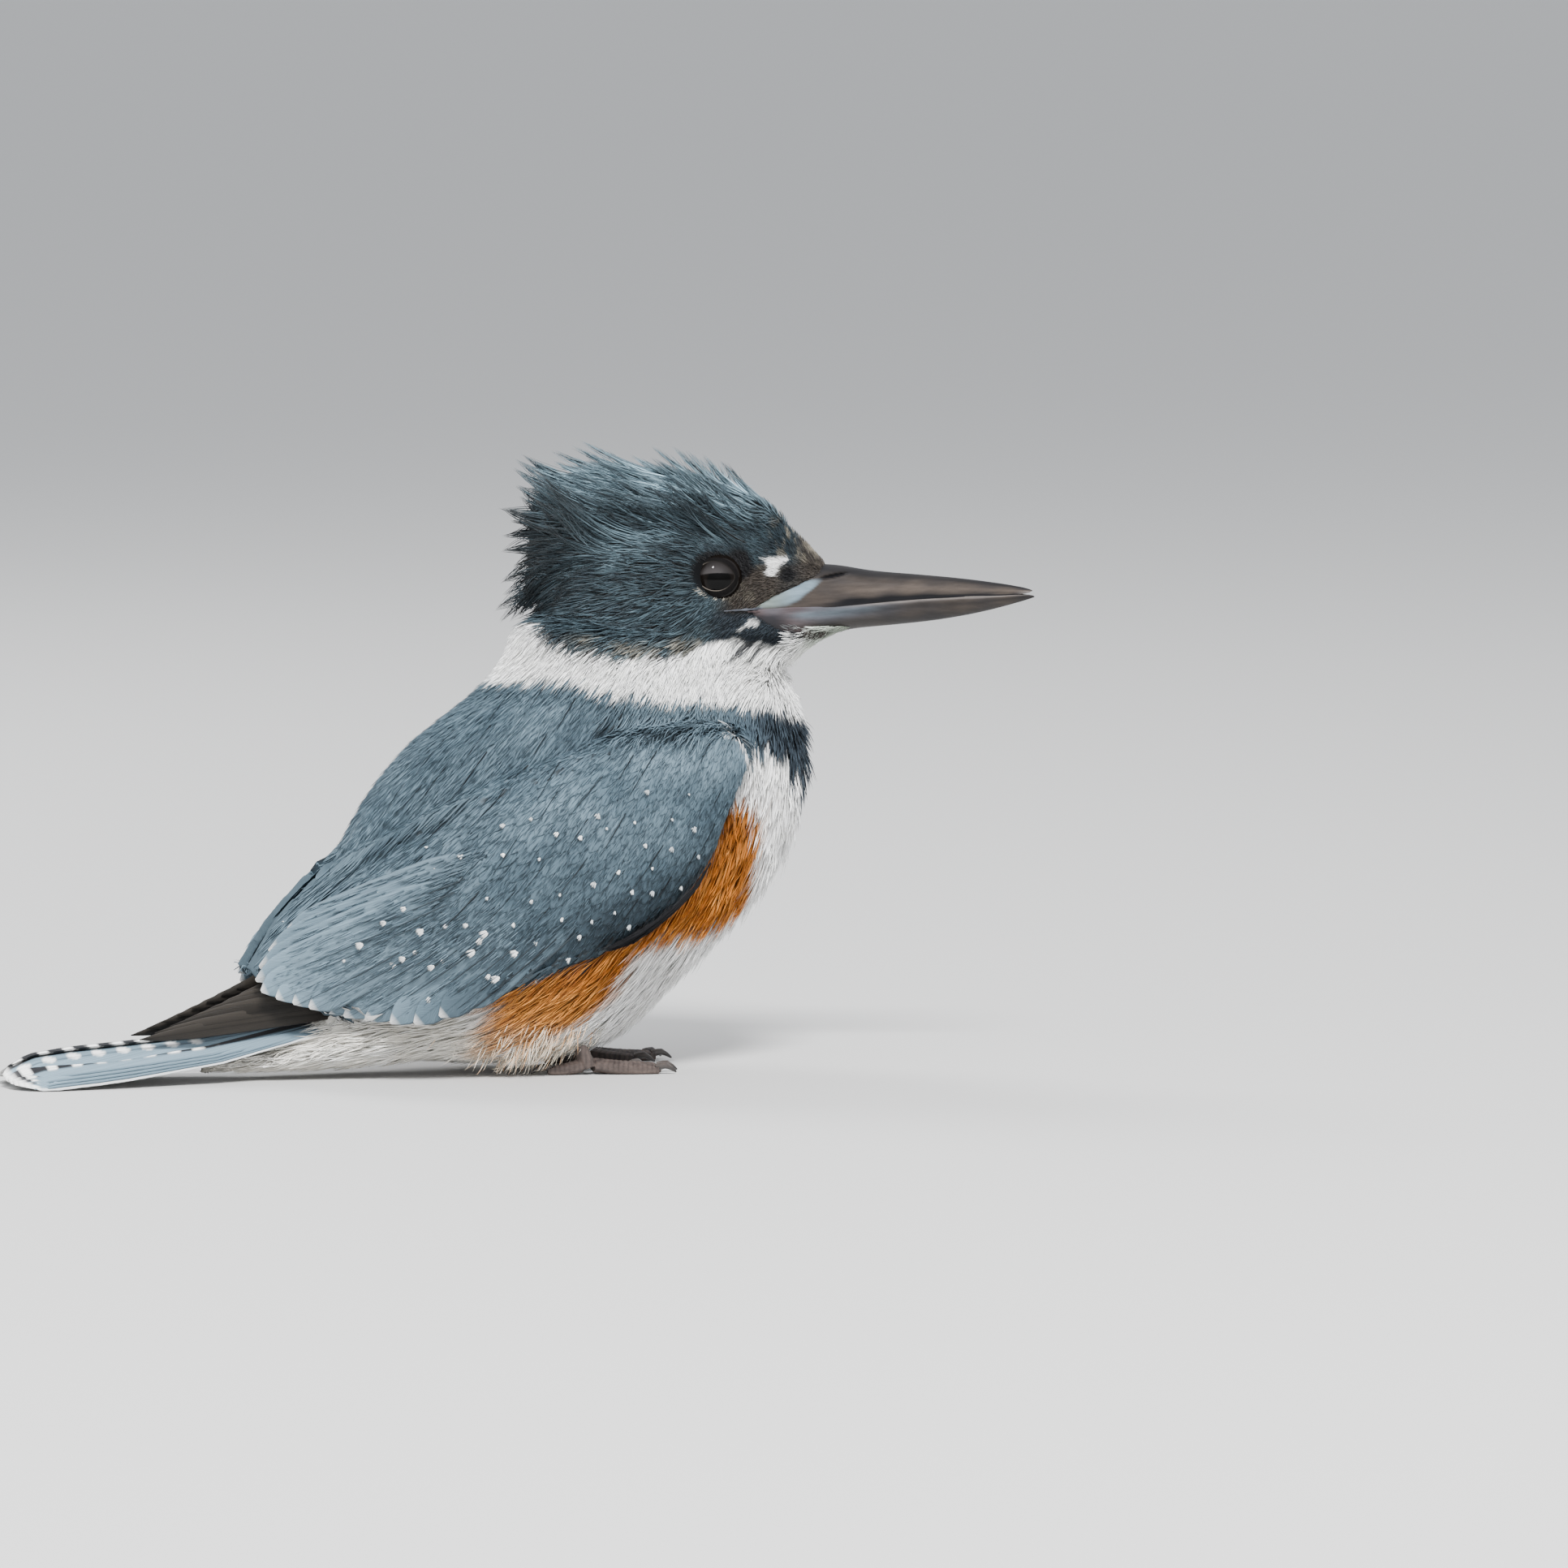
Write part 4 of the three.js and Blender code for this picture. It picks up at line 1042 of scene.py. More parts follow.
def makeCrest(plan):
    tips, ways, lengths = [], [], []
    rows = np.array(plan["tips"])
    middle = np.array(plan["middle"])
    for y, share, offset, hairs in plan["lanes"]:
        for row, after in zip(rows[:-1], rows[1:]):
            ahead, up, angle, length = row + (after - row) * offset
            spot = middle + (np.array([ahead, up]) - middle) * share * (rng.uniform(0.93, 1.0) if y else 1)
            angle = math.radians(angle + (rng.normal(0, 3) if y else 0))
            place = fromHead(spot[0], y + rng.normal(0, 0.3), spot[1])
            tips += [place] * hairs
            ways += [math.cos(angle) * headAhead + math.sin(angle) * headUp] * hairs
            lengths += [length] * hairs
    tips, ways = np.array(tips), np.array(ways)
    count = len(tips)
    length = np.array(lengths) * rng.uniform(0.85, 1.15, count)
    scatter = rng.normal(0, 1.25, (count, 3)) * mm
    start, normal, uv, wing = land(tips - ways * length[:, None] * mm + scatter)
    back = rng.exponential(2.6, count)[:, None] * mm
    ends = tips - ways * back + rng.normal(0, 0.2, (count, 3)) * mm
    way = lie(start, wing)
    way = unit(way - dot(way, normal) * normal)
    bend = start + (way * 0.45 * length[:, None] + normal * 0.6) * mm
    t = np.linspace(0, 1, 6)[None, :, None]
    path = (1 - t) ** 2 * start[:, None] + 2 * t * (1 - t) * bend[:, None] + t ** 2 * ends[:, None]
    lifted, up, across = sweptPaths(path, np.repeat(normal[:, None], 6, 1), np.zeros((count, 6)))
    t = t[..., 0]
    width = rng.uniform(0.26, 0.46, count)[:, None] * (1 - 0.85 * t ** 1.4)
    # painted light: locks that bend high on the crown are painted lighter, as if lit from above
    top = ramp(8, 24, toHead(bend)[2]) * ramp(-52, -40, toHead(bend)[0])
    colour = markings(start, wing) * (rng.normal(0.95, 0.45, count) * (1 + 1.1 * top))[:, None]
    tone = np.append(np.repeat([0.75, 1.0, 1.05, 0.7, 0.42], 3), 0.35)
    colours = np.clip(colour[:, None] * tone[None, :, None], 0.003, 0.9)
    coatPiece("crest_locks", strandMesh(lifted, up, across, width, 0.6 * width), colours, uv, downMaterial,
              ("crest",))


makeCrest(crestPlan)


# the back: overlapping blades from the collar to the rump, over the shoulders of the wings
def mantleChance(p, wing, facing):
    x, _, z = toBody(p)
    below = ramp(1, -1, z - along(collarFoot, x) - 0.5)
    rump = ramp(-34, -40, x) * ramp(0.1, 0.4, facing[:, 2]) * ramp(12, 15, z)  # between the wings
    upper = np.maximum(ramp(-3, 3, z - backLine(x)), rump)
    return below * upper * ramp(44, 36, x) * (1 - wing)


def planted(count, chance, spacing):
    start = roots(count, chance)
    return thinned(start, spacing(start))


softOutline = [(0, 0.3), (0.15, 0.7), (0.4, 1.0), (0.62, 0.93), (0.8, 0.68), (0.92, 0.36), (1, 0.06)]
bladeLook = {"base": 0.1, "thick": 0.07, "camber": 0.015, "edgeTone": -0.03, "tipTone": 0.0,
             "rootTone": 0.95, "vary": 0.04, "curve": 1.0, "outline": softOutline}


def covertChance(p, wing, facing):
    s, e = toWing(p)
    last = along([(-25, 66), (-14, 79), (-2, 91), (18, 100)], e)
    aside = facing[:, 1] * np.sign(p[:, 1])
    outward = ramp(0.0, 0.3, aside + 0.6 * facing[:, 2]) * (1 - ramp(62, 70, s) * ramp(0.3, 0.0, aside))
    return ramp(0.4, 0.6, wing) * ramp(2, -2, s - last) * outward


bladePlans = {  # lift is in mm: a fixed part, and a part that grows with each blade's scale
    "mantle": {"roots": 9000, "chance": mantleChance, "spacing": 2.6, "sway": 0.06, "lift": (0.5, 0),
               "scale": lambda p: along([(-60, 1.3), (-10, 1.05), (20, 0.85), (40, 0.7)], toBody(p)[0])},
    "coverts": {"roots": 16000, "chance": covertChance, "spacing": 3.0, "sway": 0.04, "lift": (0.45, 0.3),
                "scale": lambda p: along([(0, 0.5), (12, 0.6), (30, 0.8), (60, 1.15), (90, 1.6)],
                                         toWing(p)[0] - 0.25 * toWing(p)[1])},
}


def makeBlades(name, plan, replaced):
    start = planted(plan["roots"], plan["chance"], lambda p: plan["spacing"] * plan["scale"](p))
    scale = plan["scale"](start)
    places, normals, uv, wing = trace(start, 12 * scale, 9, plan["sway"])
    look = {**bladeLook, "lift": plan["lift"][0] + plan["lift"][1] * scale, "width": 5.6 * scale}
    colours = markings(places[:, 5], wing)
    vanes(name, places, normals, uv, colours, look, vaneMaterial, replaced)
    return places, normals, uv, scale


makeBlades("mantle_feathers", bladePlans["mantle"], ("trunk", "rump"))
covertBlades = makeBlades("wing_coverts", bladePlans["coverts"], ("wing_left", "wing_right"))


# fine barbs that blend the blades, dark lines of painted shadow along their edges, and white dots at their
# tips
def veilChance(p, wing, facing):
    return np.maximum(mantleChance(p, wing, facing), covertChance(p, wing, facing))


def shoulderChance(p, wing, facing):
    x, y, z = toBody(p)
    return ramp(2, 8, x) * ramp(46, 40, x) * ramp(83, 85, z) * ramp(91, 89, z) * ramp(16, 20, np.abs(y))


def makeShadowSlits(look):  # the long dark lines of painted shadow where one feather ends on the next
    start = planted(4000, veilChance, lambda p: 5.5 + 3 * rng.random(len(p)))
    x, y, _ = toBody(start)
    start = start[(np.abs(y) > 5) & (x < 33)]
    long = rng.uniform(7, 17, len(start)) * (1 + 0.4 * ramp(0, -50, toBody(start)[0]))
    places, normals, uv, wing = trace(start, long, 9, 0.05)
    strandCoat("wing_shadow_slits", places, normals, uv, markings(places[:, 4], wing), look)


def makeDots(blades):
    places, normals, uv, scale = blades
    s, e = toWing(places[:, -1])
    spotted = ramp(14, 24, s) * ramp(5, -1, e - 0.16 * s + 3) * ramp(-25, -23.5, e + 0.05 * s)
    spotted = spotted * ramp(122, 114, s)
    chosen = np.flatnonzero(rng.random(len(places)) < 0.75 * spotted)
    spacing = 2.6 + 4.5 * rng.random(len(chosen)) * scale[chosen]
    kept = {tuple(p) for p in thinned(places[chosen, -1], spacing)}
    chosen = chosen[[tuple(p) in kept for p in places[chosen, -1]]]
    run = places[chosen, -1] - places[chosen, -2]
    size = (0.42 + 0.3 * scale[chosen]) * rng.uniform(0.3, 1.15, len(chosen))
    faint = rng.uniform(0.05, 0.5, len(chosen)) + 0.35 * ramp(50, 20, s[chosen])
    dotsAt("wing_dots", places[chosen, -1], run, normals[chosen, -1], uv[chosen], size, faint,
           1.1 + 0.4 * scale[chosen])


def dotsAt(name, tips, run, normal, uv, size, faint, height):  # each dot is a small fan of white barbs
    count, hairs = len(tips), 9
    run = unit(run)
    across = unit(np.cross(run, normal))
    wide = np.linspace(-1, 1, hairs)[None] + rng.normal(0, 0.15, (count, hairs))
    reach = 1.9 - 0.7 * wide ** 2 + rng.normal(0, 0.2, (count, hairs))
    t = np.linspace(-0.6, 0.5, 4)
    ahead = (reach[..., None] * t) * size[:, None, None]
    aside = (wide[..., None] * (0.7 + 0.5 * (t + 0.6))) * 0.75 * size[:, None, None]
    fan = run[:, None, None] * ahead[..., None] + across[:, None, None] * aside[..., None]
    paths = (tips[:, None, None] + fan * mm).reshape(-1, 4, 3)
    each = lambda values: np.repeat(values, hairs, 0)
    colour = mixed(np.tile(tints["white"], (len(paths), 1)), tints["backLight"], each(faint))
    look = {**coatLooks["veil"], "rise": each(height), "base": 0.8, "width": 0.34, "vary": 0.03}
    strandCoat(name, paths, np.repeat(each(normal)[:, None], 4, 1), each(uv), colour, look)


coatLooks["veil"] = {
    "count": 22000, "length": lambda p: 3.4 + 1.2 * ramp(10, -50, toBody(p)[0]), "base": 0.35, "curve": 1.0,
    "rise": lambda p: 1.05 + 0.35 * ramp(10, -50, toBody(p)[0]), "steps": 3, "sway": 0.1,
    "lock": 0, "width": 0.31, "vary": 0.1, "rootTone": 0.96, "tipTone": 1.06}
coatLooks["slit"] = {
    "base": 0.6, "curve": 0.5, "rise": lambda p: 1.15 + 0.35 * ramp(10, -50, toBody(p)[0]),
    "width": 0.3, "vary": 0.3, "rootTone": 0.9, "tipTone": 1.0, "tint": 0.14}
coatLooks["shoulder"] = {
    "count": 1100, "length": 7.5, "rise": 3.0, "steps": 6, "sway": 0.12, "curve": 0.6, "lock": 2.5,
    "gather": 0.3, "width": 0.4, "vary": 0.15, "rootTone": 0.8, "tipTone": 1.1}
strands("wing_barbs", veilChance, coatLooks["veil"])
makeShadowSlits(coatLooks["slit"])
makeDots(covertBlades)
strands("shoulder_feathers", shoulderChance, coatLooks["shoulder"])


# long feathers, each on a path of its own from a quill end to a tip
def draped(solid, x, y, z, clear):  # the outer surface of a solid, at a place seen from its own side
    tree = treeOf(solid)
    result = []
    for px, py, pz in np.stack(np.broadcast_arrays(x, y, z), -1).reshape(-1, 3):
        side = 1 if py > 0 else -1
        offset = Vector((0, side * clear * mm, 0))
        start = Vector(fromBody(px, side * 60, pz))
        hit = tree.ray_cast(start, Vector((0, -side, 0)))
        if hit[0] is None:  # past the solid's edge: level with the place before
            near = result[-1] if result else tree.find_nearest(Vector(fromBody(px, py, pz)))[0] + offset
            hit = [Vector((start.x, near[1] - offset[1], start.z))]
        result.append(np.array(hit[0]) + offset)
    return np.array(result)


def bladePaths(solid, side, quill, tip, clear, bow, sunk=0.0):
    t = np.linspace(0, 1, 9)
    x = quill[0] + (tip[0] - quill[0]) * t
    z = quill[1] + (tip[1] - quill[1]) * t + bow * np.sin(math.pi * t)
    places = draped(solid, x, side * 20.0, z, clear)
    places[:, 1] = np.polyval(np.polyfit(t, places[:, 1], 3), t)  # evens out the solid's flat faces
    places[:, 1] -= side * sunk * (1 - ramp(0, 0.5, t)) * mm  # the quill end lies under the coverts
    return places


longOutline = [(0, 0.1), (0.18, 0.5), (0.42, 0.95), (0.65, 1.0), (0.84, 0.94), (0.9, 0.84), (0.925, 0.76),
               (0.96, 0.5), (1, 0.1)]
pointedOutline = [(0, 0.7), (0.3, 0.95), (0.55, 1.0), (0.75, 0.86), (0.9, 0.52), (1, 0.06)]
flightPlan = {  # for each row: places along and above the wing, and what changes from feather to feather
    "secondaries": {"tips": [(88, -26.2), (94, -25.9), (100, -25.0), (105, -22.6), (109.5, -20.0),
                             (113.5, -17.2), (117, -14.5), (120.5, -11.4), (123.5, -8.8), (126.5, -6),
                             (129, -3)],
                    "quill": (44, -13), "step": (4.4, 1.3), "clear": (-1.0, 0.08), "bow": -1.0, "sunk": 0.8,
                    "width": 8.5, "lean": 0},
    "tertials": {"tips": [(128.6, -0.4), (126.3, 2.0), (122.5, 4.4), (117.5, 6.6)],
                 "quill": (66, 1), "step": (-3, 1.6), "clear": (0.1, 0.1), "bow": 0.8, "sunk": 2.4,
                 "width": 9.0, "lean": 0.12},
    "barbs": 140,  # on each feather
    "spots": [(-67.3, 36.3), (-58.1, 34.3), (-48.1, 31.0), (-41.3, 28.9), (-32.1, 32.5), (-53.5, 46.7),
              (-48.3, 43.5), (-52.8, 39.9), (-44.4, 37.9), (-33.8, 39.5), (-29.3, 37.2), (-21.7, 32.3),
              (-25.9, 25.9)],  # ahead, up
}


def sideNormals(paths, lean):
    outward = np.zeros_like(paths)
    outward[..., 1] = np.sign(paths[:, :1, 1])
    outward[..., 2] = np.broadcast_to(lean, len(paths))[:, None]
    run = unit(np.gradient(paths, axis=1))
    return unit(outward - dot(outward, run) * run)


coatLooks["flightBarb"] = {"base": 0.35, "curve": 1.0, "rise": 0.75, "width": 0.34, "vary": 0.12,
                           "rootTone": 0.95, "tipTone": 1.06}
# line: the look of the dark lines of painted shadow along feather edges, also the hem's base
coatLooks["line"] = {"base": 0.5, "curve": 0.6, "rise": 0.95, "width": 0.34, "vary": 0.2, "rootTone": 0.8,
                     "tipTone": 1.0, "tint": 0.25}


def barbsOn(name, paths, normals, widths, each):  # the same fuzz as on the coverts
    steps = paths.shape[1]
    which = np.repeat(np.arange(len(paths)), each)
    at, side = rng.uniform(0.04, 0.85, len(which)), rng.uniform(-0.44, 0.44, len(which))
    spot = (at[:, None] + np.linspace(0, 0.07, 3)[None]) * (steps - 1)
    low = np.minimum(spot.astype(int), steps - 2)
    part, own = (spot - low)[..., None], which[:, None]
    place = paths[own, low] * (1 - part) + paths[own, low + 1] * part
    normal = unit(normals[own, low] * (1 - part) + normals[own, low + 1] * part)
    across = unit(np.cross(np.gradient(place, axis=1), normal))
    place = place + across * (side * widths[which] * along(longOutline, at))[:, None, None] * mm
    _, _, uv, _ = land(place[:, 0])
    strandCoat(name, place, normal, uv, markings(place[:, 1], np.ones(len(which))), coatLooks["flightBarb"])


def makeFlight(plan):
    paths, widths, leans = [], [], []
    for side, sign in sides.items():
        for row in (plan["secondaries"], plan["tertials"]):
            for k, tip in enumerate(row["tips"]):
                quill = [start + step * k for start, step in zip(row["quill"], row["step"])]
                clear = row["clear"][0] + row["clear"][1] * k
                paths.append(bladePaths("wing_" + side, sign, fromWing(*quill), fromWing(*tip), clear,
                                        row["bow"], row["sunk"]))
                widths.append(row["width"])
                leans.append(row["lean"] * k)
    paths, widths = np.array(paths), np.array(widths)
    normals = sideNormals(paths, leans)
    _, _, uv, _ = land(paths[:, 0])
    base = markings(paths[:, 5], np.ones(len(paths)))
    look = {"lift": 0.5, "base": 0.0, "curve": 0.8, "width": widths, "thick": 0.2, "camber": 0.04,
            "edgeTone": 0.1, "tipTone": 0.12, "rootTone": 0.8, "vary": 0.05, "outline": longOutline,
            "whiteTip": (0.895, 0.925)}
    vanes("wing_feathers", paths, normals, uv, base, look, quillMaterial,
          ("wing_left", "wing_right"))
    barbsOn("flight_barbs", paths, normals, widths, plan["barbs"])
    spots = np.array(plan["spots"])
    behind = spots - [0.6, 0.35]
    for side, sign in sides.items():
        here, there = (draped("wing_" + side, v[:, 0], sign * 20.0, v[:, 1], 1.0) for v in (spots, behind))
        normal = np.tile([0.0, sign, 0.1], (len(spots), 1))
        _, _, patches, _ = land(here)
        size, faint = rng.uniform(0.55, 1.15, len(spots)), rng.uniform(0.02, 0.3, len(spots))
        dotsAt("flight_dots_" + side, here, there - here, unit(normal), patches, size, faint,
               np.full(len(spots), 0.5))
    # dark lines of painted shadow where one feather lies on the next
    places, normals = resampled(paths, normals, np.linspace(0.3, 0.93, 12))
    across = unit(np.cross(np.gradient(places, axis=1), normals)) * np.sign(paths[:, :1, 1])[..., None]
    lines = places + across * (0.44 * widths)[:, None, None] * mm
    strandCoat("flight_edge_shadows", lines, normals, uv, base, coatLooks["line"])


makeFlight(flightPlan)


hemAndShadowPlan = {
    "path": [(27.2, 54, 0.3), (23.5, 47.7, 0.8), (18, 42.4, 1.2), (13.2, 38.8, 1.6), (8.4, 35.8, 1.5),
             (4.2, 34.2, 0.9), (0.6, 33.1, 0.2)],  # ahead, up, half width
    "count": 190, "long": 0.25, "width": 0.5, "out": 3.0,
}


def makeHemAndShadow(plan):  # the black hem under the wing's front: its dark feather edge, with painted shadow under the wing
    rows, count, steps = np.array(plan["path"], float), plan["count"], 8
    for side, sign in sides.items():
        begin = rng.uniform(0, 1 - plan["long"], count)[:, None] + np.linspace(0, plan["long"], steps)[None]
        places = np.linspace(0, 1, len(rows))
        x, z, half = (np.interp(begin, places, rows[:, i]) for i in range(3))
        off = rng.uniform(-1, 1, count)[:, None] * half
        spots, normals, uv, _ = land(draped("wing_" + side, x + 0.6 * off, sign * 20.0, z + 0.8 * off, 0.0))
        look = {**coatLooks["line"], "width": plan["width"], "tint": 1, "base": plan["out"] - 0.6,
                "rise": plan["out"]}
        spots, normals, uv = (v.reshape(count, steps, -1) for v in (spots, normals, uv))
        strandCoat("wing_hem_" + side, spots, normals, uv[:, 0], np.tile(tints["black"], (count, 1)), look)


makeHemAndShadow(hemAndShadowPlan)


primaryPlan = {  # from the first to the last feather: ahead and up, how far off the solid, and width
    "count": 8, "quill": ((-57, 27), (-57, 17)), "tip": ((-82, 21.5), (-108.5, 10.9)), "clear": (0.5, -0.4),
    "width": (5.4, 4.2), "bow": 0.5, "colour": (0.0135, 0.0115, 0.0095),
}


def makePrimaries(plan):  # they fan together towards their tips
    paths, widths = [], []
    shared = lambda ends, share: np.array(ends[0]) + (np.array(ends[1]) - np.array(ends[0])) * share
    for side, sign in sides.items():
        for share in np.arange(plan["count"]) / (plan["count"] - 1):
            quill, tip, clear = (shared(plan[key], share) for key in ("quill", "tip", "clear"))
            paths.append(bladePaths("primaries_" + side, sign, quill, tip, clear, plan["bow"]))
            widths.append(shared(plan["width"], share))
    paths = np.array(paths)
    _, _, uv, _ = land(paths[:, 0])
    base = np.tile(plan["colour"], (len(paths), 1))
    look = {"lift": 0.1, "base": 0.0, "curve": 0.8, "width": np.array(widths), "thick": 0.2, "camber": 0.05,
            "edgeTone": 0.6, "tipTone": 0.1, "rootTone": 0.9, "vary": 0.2, "outline": pointedOutline}
    vanes("primary_feathers", paths, sideNormals(paths, 0), uv, base, look, quillMaterial,
          ("primaries_left", "primaries_right"))


makePrimaries(primaryPlan)

tailPlan = {
    "quill": -50, "tip": -141.6, "narrow": 0.5, "half": 15.2,
    "edges": (10.8, 12.2, 13.4, 14.4, 15.2, 15.9),  # one for each pair, here and in the next two rows
    "widths": (13.2, 9.5, 9, 8.5, 8, 7.5),
    "short": (0, 0.5, 1.2, 2.2, 3.4, 5.0),
    "ridge": [(-142.2, 3.0), (-137, 6.4), (-128, 8), (-112, 9.4), (-90, 11), (-66, 15), (-46, 19)],
    "edge": [(-142.2, 1.2), (-128, 1.5), (-112, 2), (-90, 4.4), (-66, 10.5), (-46, 16)],
    "blade": [(0, 0.5), (0.2, 0.66), (0.5, 0.85), (0.8, 1), (0.93, 0.95), (0.975, 0.75), (1, 0.3)],
}
tailSection = [(u, 1 - abs(u) ** 1.5) for u in np.linspace(-1, 1, 17)] + [(0, -0.2)]


def tailColours(u, v, outer):  # u from the inner to the outer edge, v from quill to tip
    dark = ramp(-0.4, -0.5, u) if outer == 0 else ramp(0.3, 0.1, u)
    beat = v * 15
    shown = ramp(0.42, 0.5, v)
    bars = ramp(0.1, 0.5, np.sin(beat * 2 * math.pi)) * shown * dark
    colour = layered(
        tints["backLight"] + 0 * v[:, None],
        (tints["backLight"] * 1.35, v),
        (tints["backDark"], hump(u, 0, 0.06) * 0.4),
        (tints["black"] * 2.2, dark),
        (tints["white"], bars * (ramp(-0.6, -0.75, u) if outer == 0 else 1)))
    if outer == 0:
        drop = np.hypot((u + 0.12) / 0.26, (np.mod(beat + 0.35 + 0.25 * u, 1) - 0.5) / 0.24)
        colour = mixed(colour, tints["white"], ramp(1.2, 0.75, drop) * shown)
    colour = mixed(colour, tints["backDark"] * 1.5, ramp(0.8, 0.92, u) * 0.7)
    if outer == 5:
        colour = mixed(colour, tints["white"], ramp(0.5, 0.8, u) * 0.6)
    return mixed(colour, tints["white"], ramp(0.972, 0.992, v))


def makeTail(plan):
    paths, widths, outers = [], [], []
    t = np.linspace(0, 1, 12)
    spread = plan["narrow"] + (1 - plan["narrow"]) * t
    for sign in sides.values():
        for k, (edge, width, short) in enumerate(zip(plan["edges"], plan["widths"], plan["short"])):
            x = plan["quill"] + (plan["tip"] + short - plan["quill"]) * t
            y = sign * (edge - width / 2) * spread
            ridge, low = along(plan["ridge"], x), along(plan["edge"], x)
            z = ridge - (ridge - low) * (np.abs(y) / plan["half"]) ** 1.4 - 0.5 - 0.2 * k
            paths.append(fromBody(x, y, np.maximum(z, 0.75)))
            widths.append(width)
            outers.append(k)
    paths = np.array(paths)
    run = unit(np.gradient(paths, axis=1))
    above = np.zeros_like(paths) + [0, 0, 1]
    above[..., 1] = 0.4 * np.sign(paths[..., 1])
    normals = unit(above - dot(above, run) * run)
    _, _, uv, _ = land(paths[:, 0])
    shares = np.linspace(0, 1, 120)
    places, normals = resampled(paths, normals, shares)
    wide = np.array(widths)[:, None] * along(plan["blade"], shares)[None]
    lifted, up, across = sweptPaths(places, normals, np.zeros(wide.shape))
    made = vaneMesh(lifted, up, across, wide, np.full_like(wide, 0.22), 0.03, np.array(tailSection))
    _, _, vane, size = made
    signs = np.repeat(list(sides.values()), len(plan["edges"]))
    u, v = vane[:size, 0], vane[:size, 1]
    colours = [tailColours(u * sign, v, outer) for sign, outer in zip(signs, outers)]
    coatPiece("tail_feathers", made, np.clip(np.array(colours), 0.004, 0.9), uv, quillMaterial,
              ("tail",))


makeTail(tailPlan)


# bare parts: lofted from rings, each ring a loop of places
def loftMesh(rings):  # closed at both ends by fans
    count, around = rings.shape[:2]
    verts = np.concatenate([rings.reshape(-1, 3), rings[:1].mean(1), rings[-1:].mean(1)])
    i, k = np.meshgrid(np.arange(around), np.arange(count - 1))
    a, b = k * around + i, k * around + (i + 1) % around
    quads = np.stack([a, b, b + around, a + around], -1).reshape(-1, 4)
    j = np.arange(around)
    first = np.stack([(j + 1) % around, j, np.full(around, count * around)], 1)
    last = np.stack([j, (j + 1) % around, np.full(around, count * around + 1)], 1)
    last[:, :2] += (count - 1) * around
    return verts, [quads, np.concatenate([first, last])]


def joined(parts):  # several lofts as one mesh
    starts = np.cumsum([0] + [len(verts) for verts, _ in parts])
    faces = [np.concatenate([faces[i] + start for (_, faces), start in zip(parts, starts)]) for i in (0, 1)]
    return np.concatenate([verts for verts, _ in parts]), faces


def reliefGroup():  # pores and fine creases for horn, lids and toes
    group, start, end = shaderGroup("fineRelief", {"Size": "Float", "Stretch": "Vector"},
                                    {"Height": "Float", "Tone": "Float"})
    place = node(group, "ShaderNodeTexCoord").outputs["Object"]
    stretched = node(group, "ShaderNodeVectorMath", {0: place, 1: start["Stretch"]}, operation="MULTIPLY")
    grain = node(group, "ShaderNodeTexNoise", {"Vector": stretched.outputs[0], "Scale": start["Size"],
                                               "Detail": 4.0, "Roughness": 0.6}).outputs["Fac"]
    feed(group, end, {"Height": grain, "Tone": ranged(group, grain, 0.25, 0.75, 0.72, 1.28)})
    return group


fineRelief = reliefGroup()


def bareMaterial(name, size, bump, inputs, stretch=(1, 1, 1)):
    material, tree, shader = principled(name, inputs)
    relief = node(tree, "ShaderNodeGroup", {"Size": size, "Stretch": stretch}, node_tree=fineRelief).outputs
    feed(tree, shader, {"Base Color": scaled(tree, painted(tree, "coat"), relief["Tone"]),
                        "Normal": bumped(tree, relief["Height"], bump)})
    return material


# eyes: glossy balls in fleshy rims
eyePlan = {
    "radius": 6.2, "bulge": 0.35, "pupil": 2.9, "horizon": 1.7,
    "opening": (4.3, 3.5), "tilt": -0.08, "centre": (-1.0, 0.85),
    "lid": [(-0.3, -0.5, 0, 0.1), (-0.03, 0.03, 0, 0.6), (0.05, 0.12, 0, 1.0), (0.15, 0.17, 0, 0.25),
            (0.3, 0.16, 0, 0), (0.3, 0.14, 0.25, 0), (0.3, 0.1, 0.55, 0), (0.3, 0.05, 0.85, 0),
            (0.3, -0.15, 1.0, 0), (0.3, -1.2, 0.95, 0)],  # outward, up, share of the way to the brim, pale
    "brim": (-0.7, 0.5, 5.5, 4.9), "reach": 5.8,  # middle and half sizes; no lid goes past the reach
}
# the last colour is a painted reflection of a pale sky, for the ball's upper half
eyeColours = {"iris": (0.004, 0.003, 0.0025), "pupil": (0.001, 0.001, 0.001), "paintedSkyReflection": (0.034, 0.031, 0.031),
              "lidEdge": (0.10, 0.088, 0.075), "lid": (0.0035, 0.003, 0.003)}
eyeColours = {name: np.array(value) for name, value in eyeColours.items()}
eyeMaterial, eyeTree, eyeShader = principled("eyeball", {"Roughness": 0.04, "Specular IOR Level": 0.12})
feed(eyeTree, eyeShader, {"Base Color": painted(eyeTree, "coat")})
rimMaterial = bareMaterial("eyerim", 2200.0, 0.4, {"Roughness": 0.75, "Specular IOR Level": 0.12})


